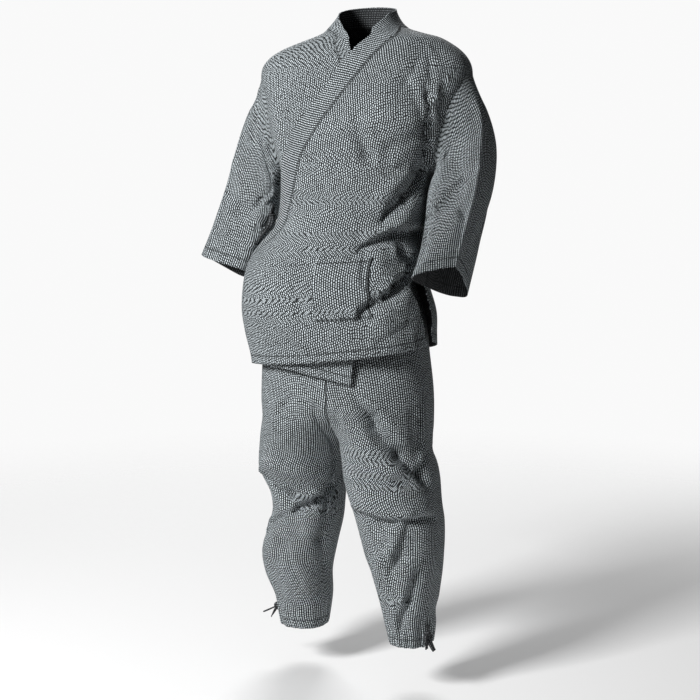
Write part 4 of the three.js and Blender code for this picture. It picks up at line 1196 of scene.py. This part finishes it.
def aimed(thing, turn, rise, distance):
    """Place a camera or a lamp so that it looks at the middle of the set."""
    turn, rise = turn * DEGREE, rise * DEGREE
    away = Vector((math.sin(turn) * math.cos(rise), -math.cos(turn) * math.cos(rise), math.sin(rise)))
    thing.location = (Vector(VIEW_TARGET) + away * distance) * MM
    thing.rotation_euler = (-away).to_track_quat("-Z", "Y").to_euler()
    bpy.context.scene.collection.objects.link(thing)
    return thing


def make_camera():
    data = bpy.data.cameras.new("camera")
    data.lens, data.sensor_width = VIEW_LENS, SENSOR_WIDTH
    camera = bpy.data.objects.new("camera", data)
    bpy.context.scene.camera = aimed(camera, VIEW_TURN, VIEW_RISE, VIEW_DISTANCE)


def make_light(name, turn, rise, distance, size, power):
    data = bpy.data.lights.new(name, "AREA")
    data.size, data.energy = size * MM, power
    aimed(bpy.data.objects.new(name, data), turn, rise, distance)


def make_floor():
    """A pale round floor that fades out towards its rim."""
    mesh = bpy.data.meshes.new("floor")
    radius = FLOOR_RADIUS * MM
    turns = [2 * math.pi * k / FLOOR_SIDES for k in range(FLOOR_SIDES)]
    rim = [(radius * math.cos(a), radius * math.sin(a), 0) for a in turns]
    mesh.from_pydata(rim, [], [tuple(range(FLOOR_SIDES))])
    floor = bpy.data.objects.new("floor", mesh)
    floor.location = (0, 0, FLOOR_LEVEL * MM)
    bpy.context.scene.collection.objects.link(floor)
    sh = Shader("pale_floor", Base_Color=FLOOR_WHITE, Roughness=0.95)
    place = sh.node("ShaderNodeTexCoord", output=3)
    reach = sh.node("ShaderNodeVectorMath", {"operation": "LENGTH"}, {0: place}, output=1)
    sh.set("Alpha", 1 - reach.band(FLOOR_FADE_FROM * MM, FLOOR_FADE_TO * MM))
    mesh.materials.append(sh.material)


def make_surround():
    """A surround that shows nearly white but lights the cloth only a little."""
    world = bpy.data.worlds.new("studio")
    world.use_nodes = True
    nodes, links = world.node_tree.nodes, world.node_tree.links
    lighting, shown = nodes["Background"], nodes.new("ShaderNodeBackground")
    for background, strength in ((lighting, SURROUND_LIGHT), (shown, SURROUND_SHOWN)):
        background.inputs["Color"].default_value = (1, 1, 1, 1)
        background.inputs["Strength"].default_value = strength
    choose = nodes.new("ShaderNodeMixShader")
    links.new(nodes.new("ShaderNodeLightPath").outputs["Is Camera Ray"], choose.inputs[0])
    links.new(lighting.outputs[0], choose.inputs[1])
    links.new(shown.outputs[0], choose.inputs[2])
    links.new(choose.outputs[0], nodes["World Output"].inputs[0])
    bpy.context.scene.world = world
    bpy.context.scene.view_settings.view_transform = "Standard"


cloth_material = woven("woven_cloth", CHARCOAL, PALE_THREAD)
collar_material = woven("collar_cloth", CHARCOAL, PALE_THREAD, along=3.8, turned=True)
# a darker copy of the weave: painted shade for the inner faces
shaded_inside_material = woven("cloth_inside_painted_shade", SHADED_INSIDE_GROUND, SHADED_INSIDE_THREAD)
tie_material = woven("tie_cloth", TIE_GROUND, TIE_THREAD, across=2.6, along=3.0)

make_camera()
make_floor()
make_surround()
make_light("key", turn=-27, rise=30, distance=4000, size=1000, power=205)
make_light("back_light", turn=-160, rise=40, distance=3600, size=1500, power=80)

front_stitches = {"last_row": JACKET_HEM, "last_column": EDGE_STITCH}
panel("jacket_back", body, back_grid, JACKET_COLUMNS, 180, last_row=JACKET_HEM)
panel("jacket_front_left", over, over_grid, JACKET_COLUMNS, 60, **front_stitches)
panel("jacket_front_right", under, under_grid, UNDER_COLUMNS, -60, **front_stitches)
collar_piece()
pocket_piece()
sleeve_piece("sleeve_left", SLEEVE_LEFT, SLEEVE_LEFT_FOLDS, SLEEVE_LEFT_CREASES, 1)
sleeve_piece("sleeve_right", SLEEVE_RIGHT, SLEEVE_RIGHT_FOLDS, SLEEVE_RIGHT_CREASES, -1)
band_piece()
for part, front in (("front", True), ("back", False)):
    leg_piece(f"trouser_{part}_left", LEG_LEFT, LEG_LEFT_FOLDS, LEG_LEFT_CREASES, 1, front, ANKLE_LEFT)
for part, front in (("front", True), ("back", False)):
    leg_piece(f"trouser_{part}_right", LEG_RIGHT, LEG_RIGHT_FOLDS, LEG_RIGHT_CREASES, -1, front, ANKLE_RIGHT)
left_leg, right_leg = leg_surface(LEG_LEFT, 1), leg_surface(LEG_RIGHT, -1)
tie_piece("jacket_tie", on_jacket, JACKET_KNOT, JACKET_TIE_ENDS, 1)
tie_piece("ankle_tie_left", left_leg, ANKLE_KNOT_LEFT, ANKLE_ENDS_LEFT, 1)
tie_piece("ankle_tie_right", right_leg, ANKLE_KNOT_RIGHT, ANKLE_ENDS_RIGHT, -1)
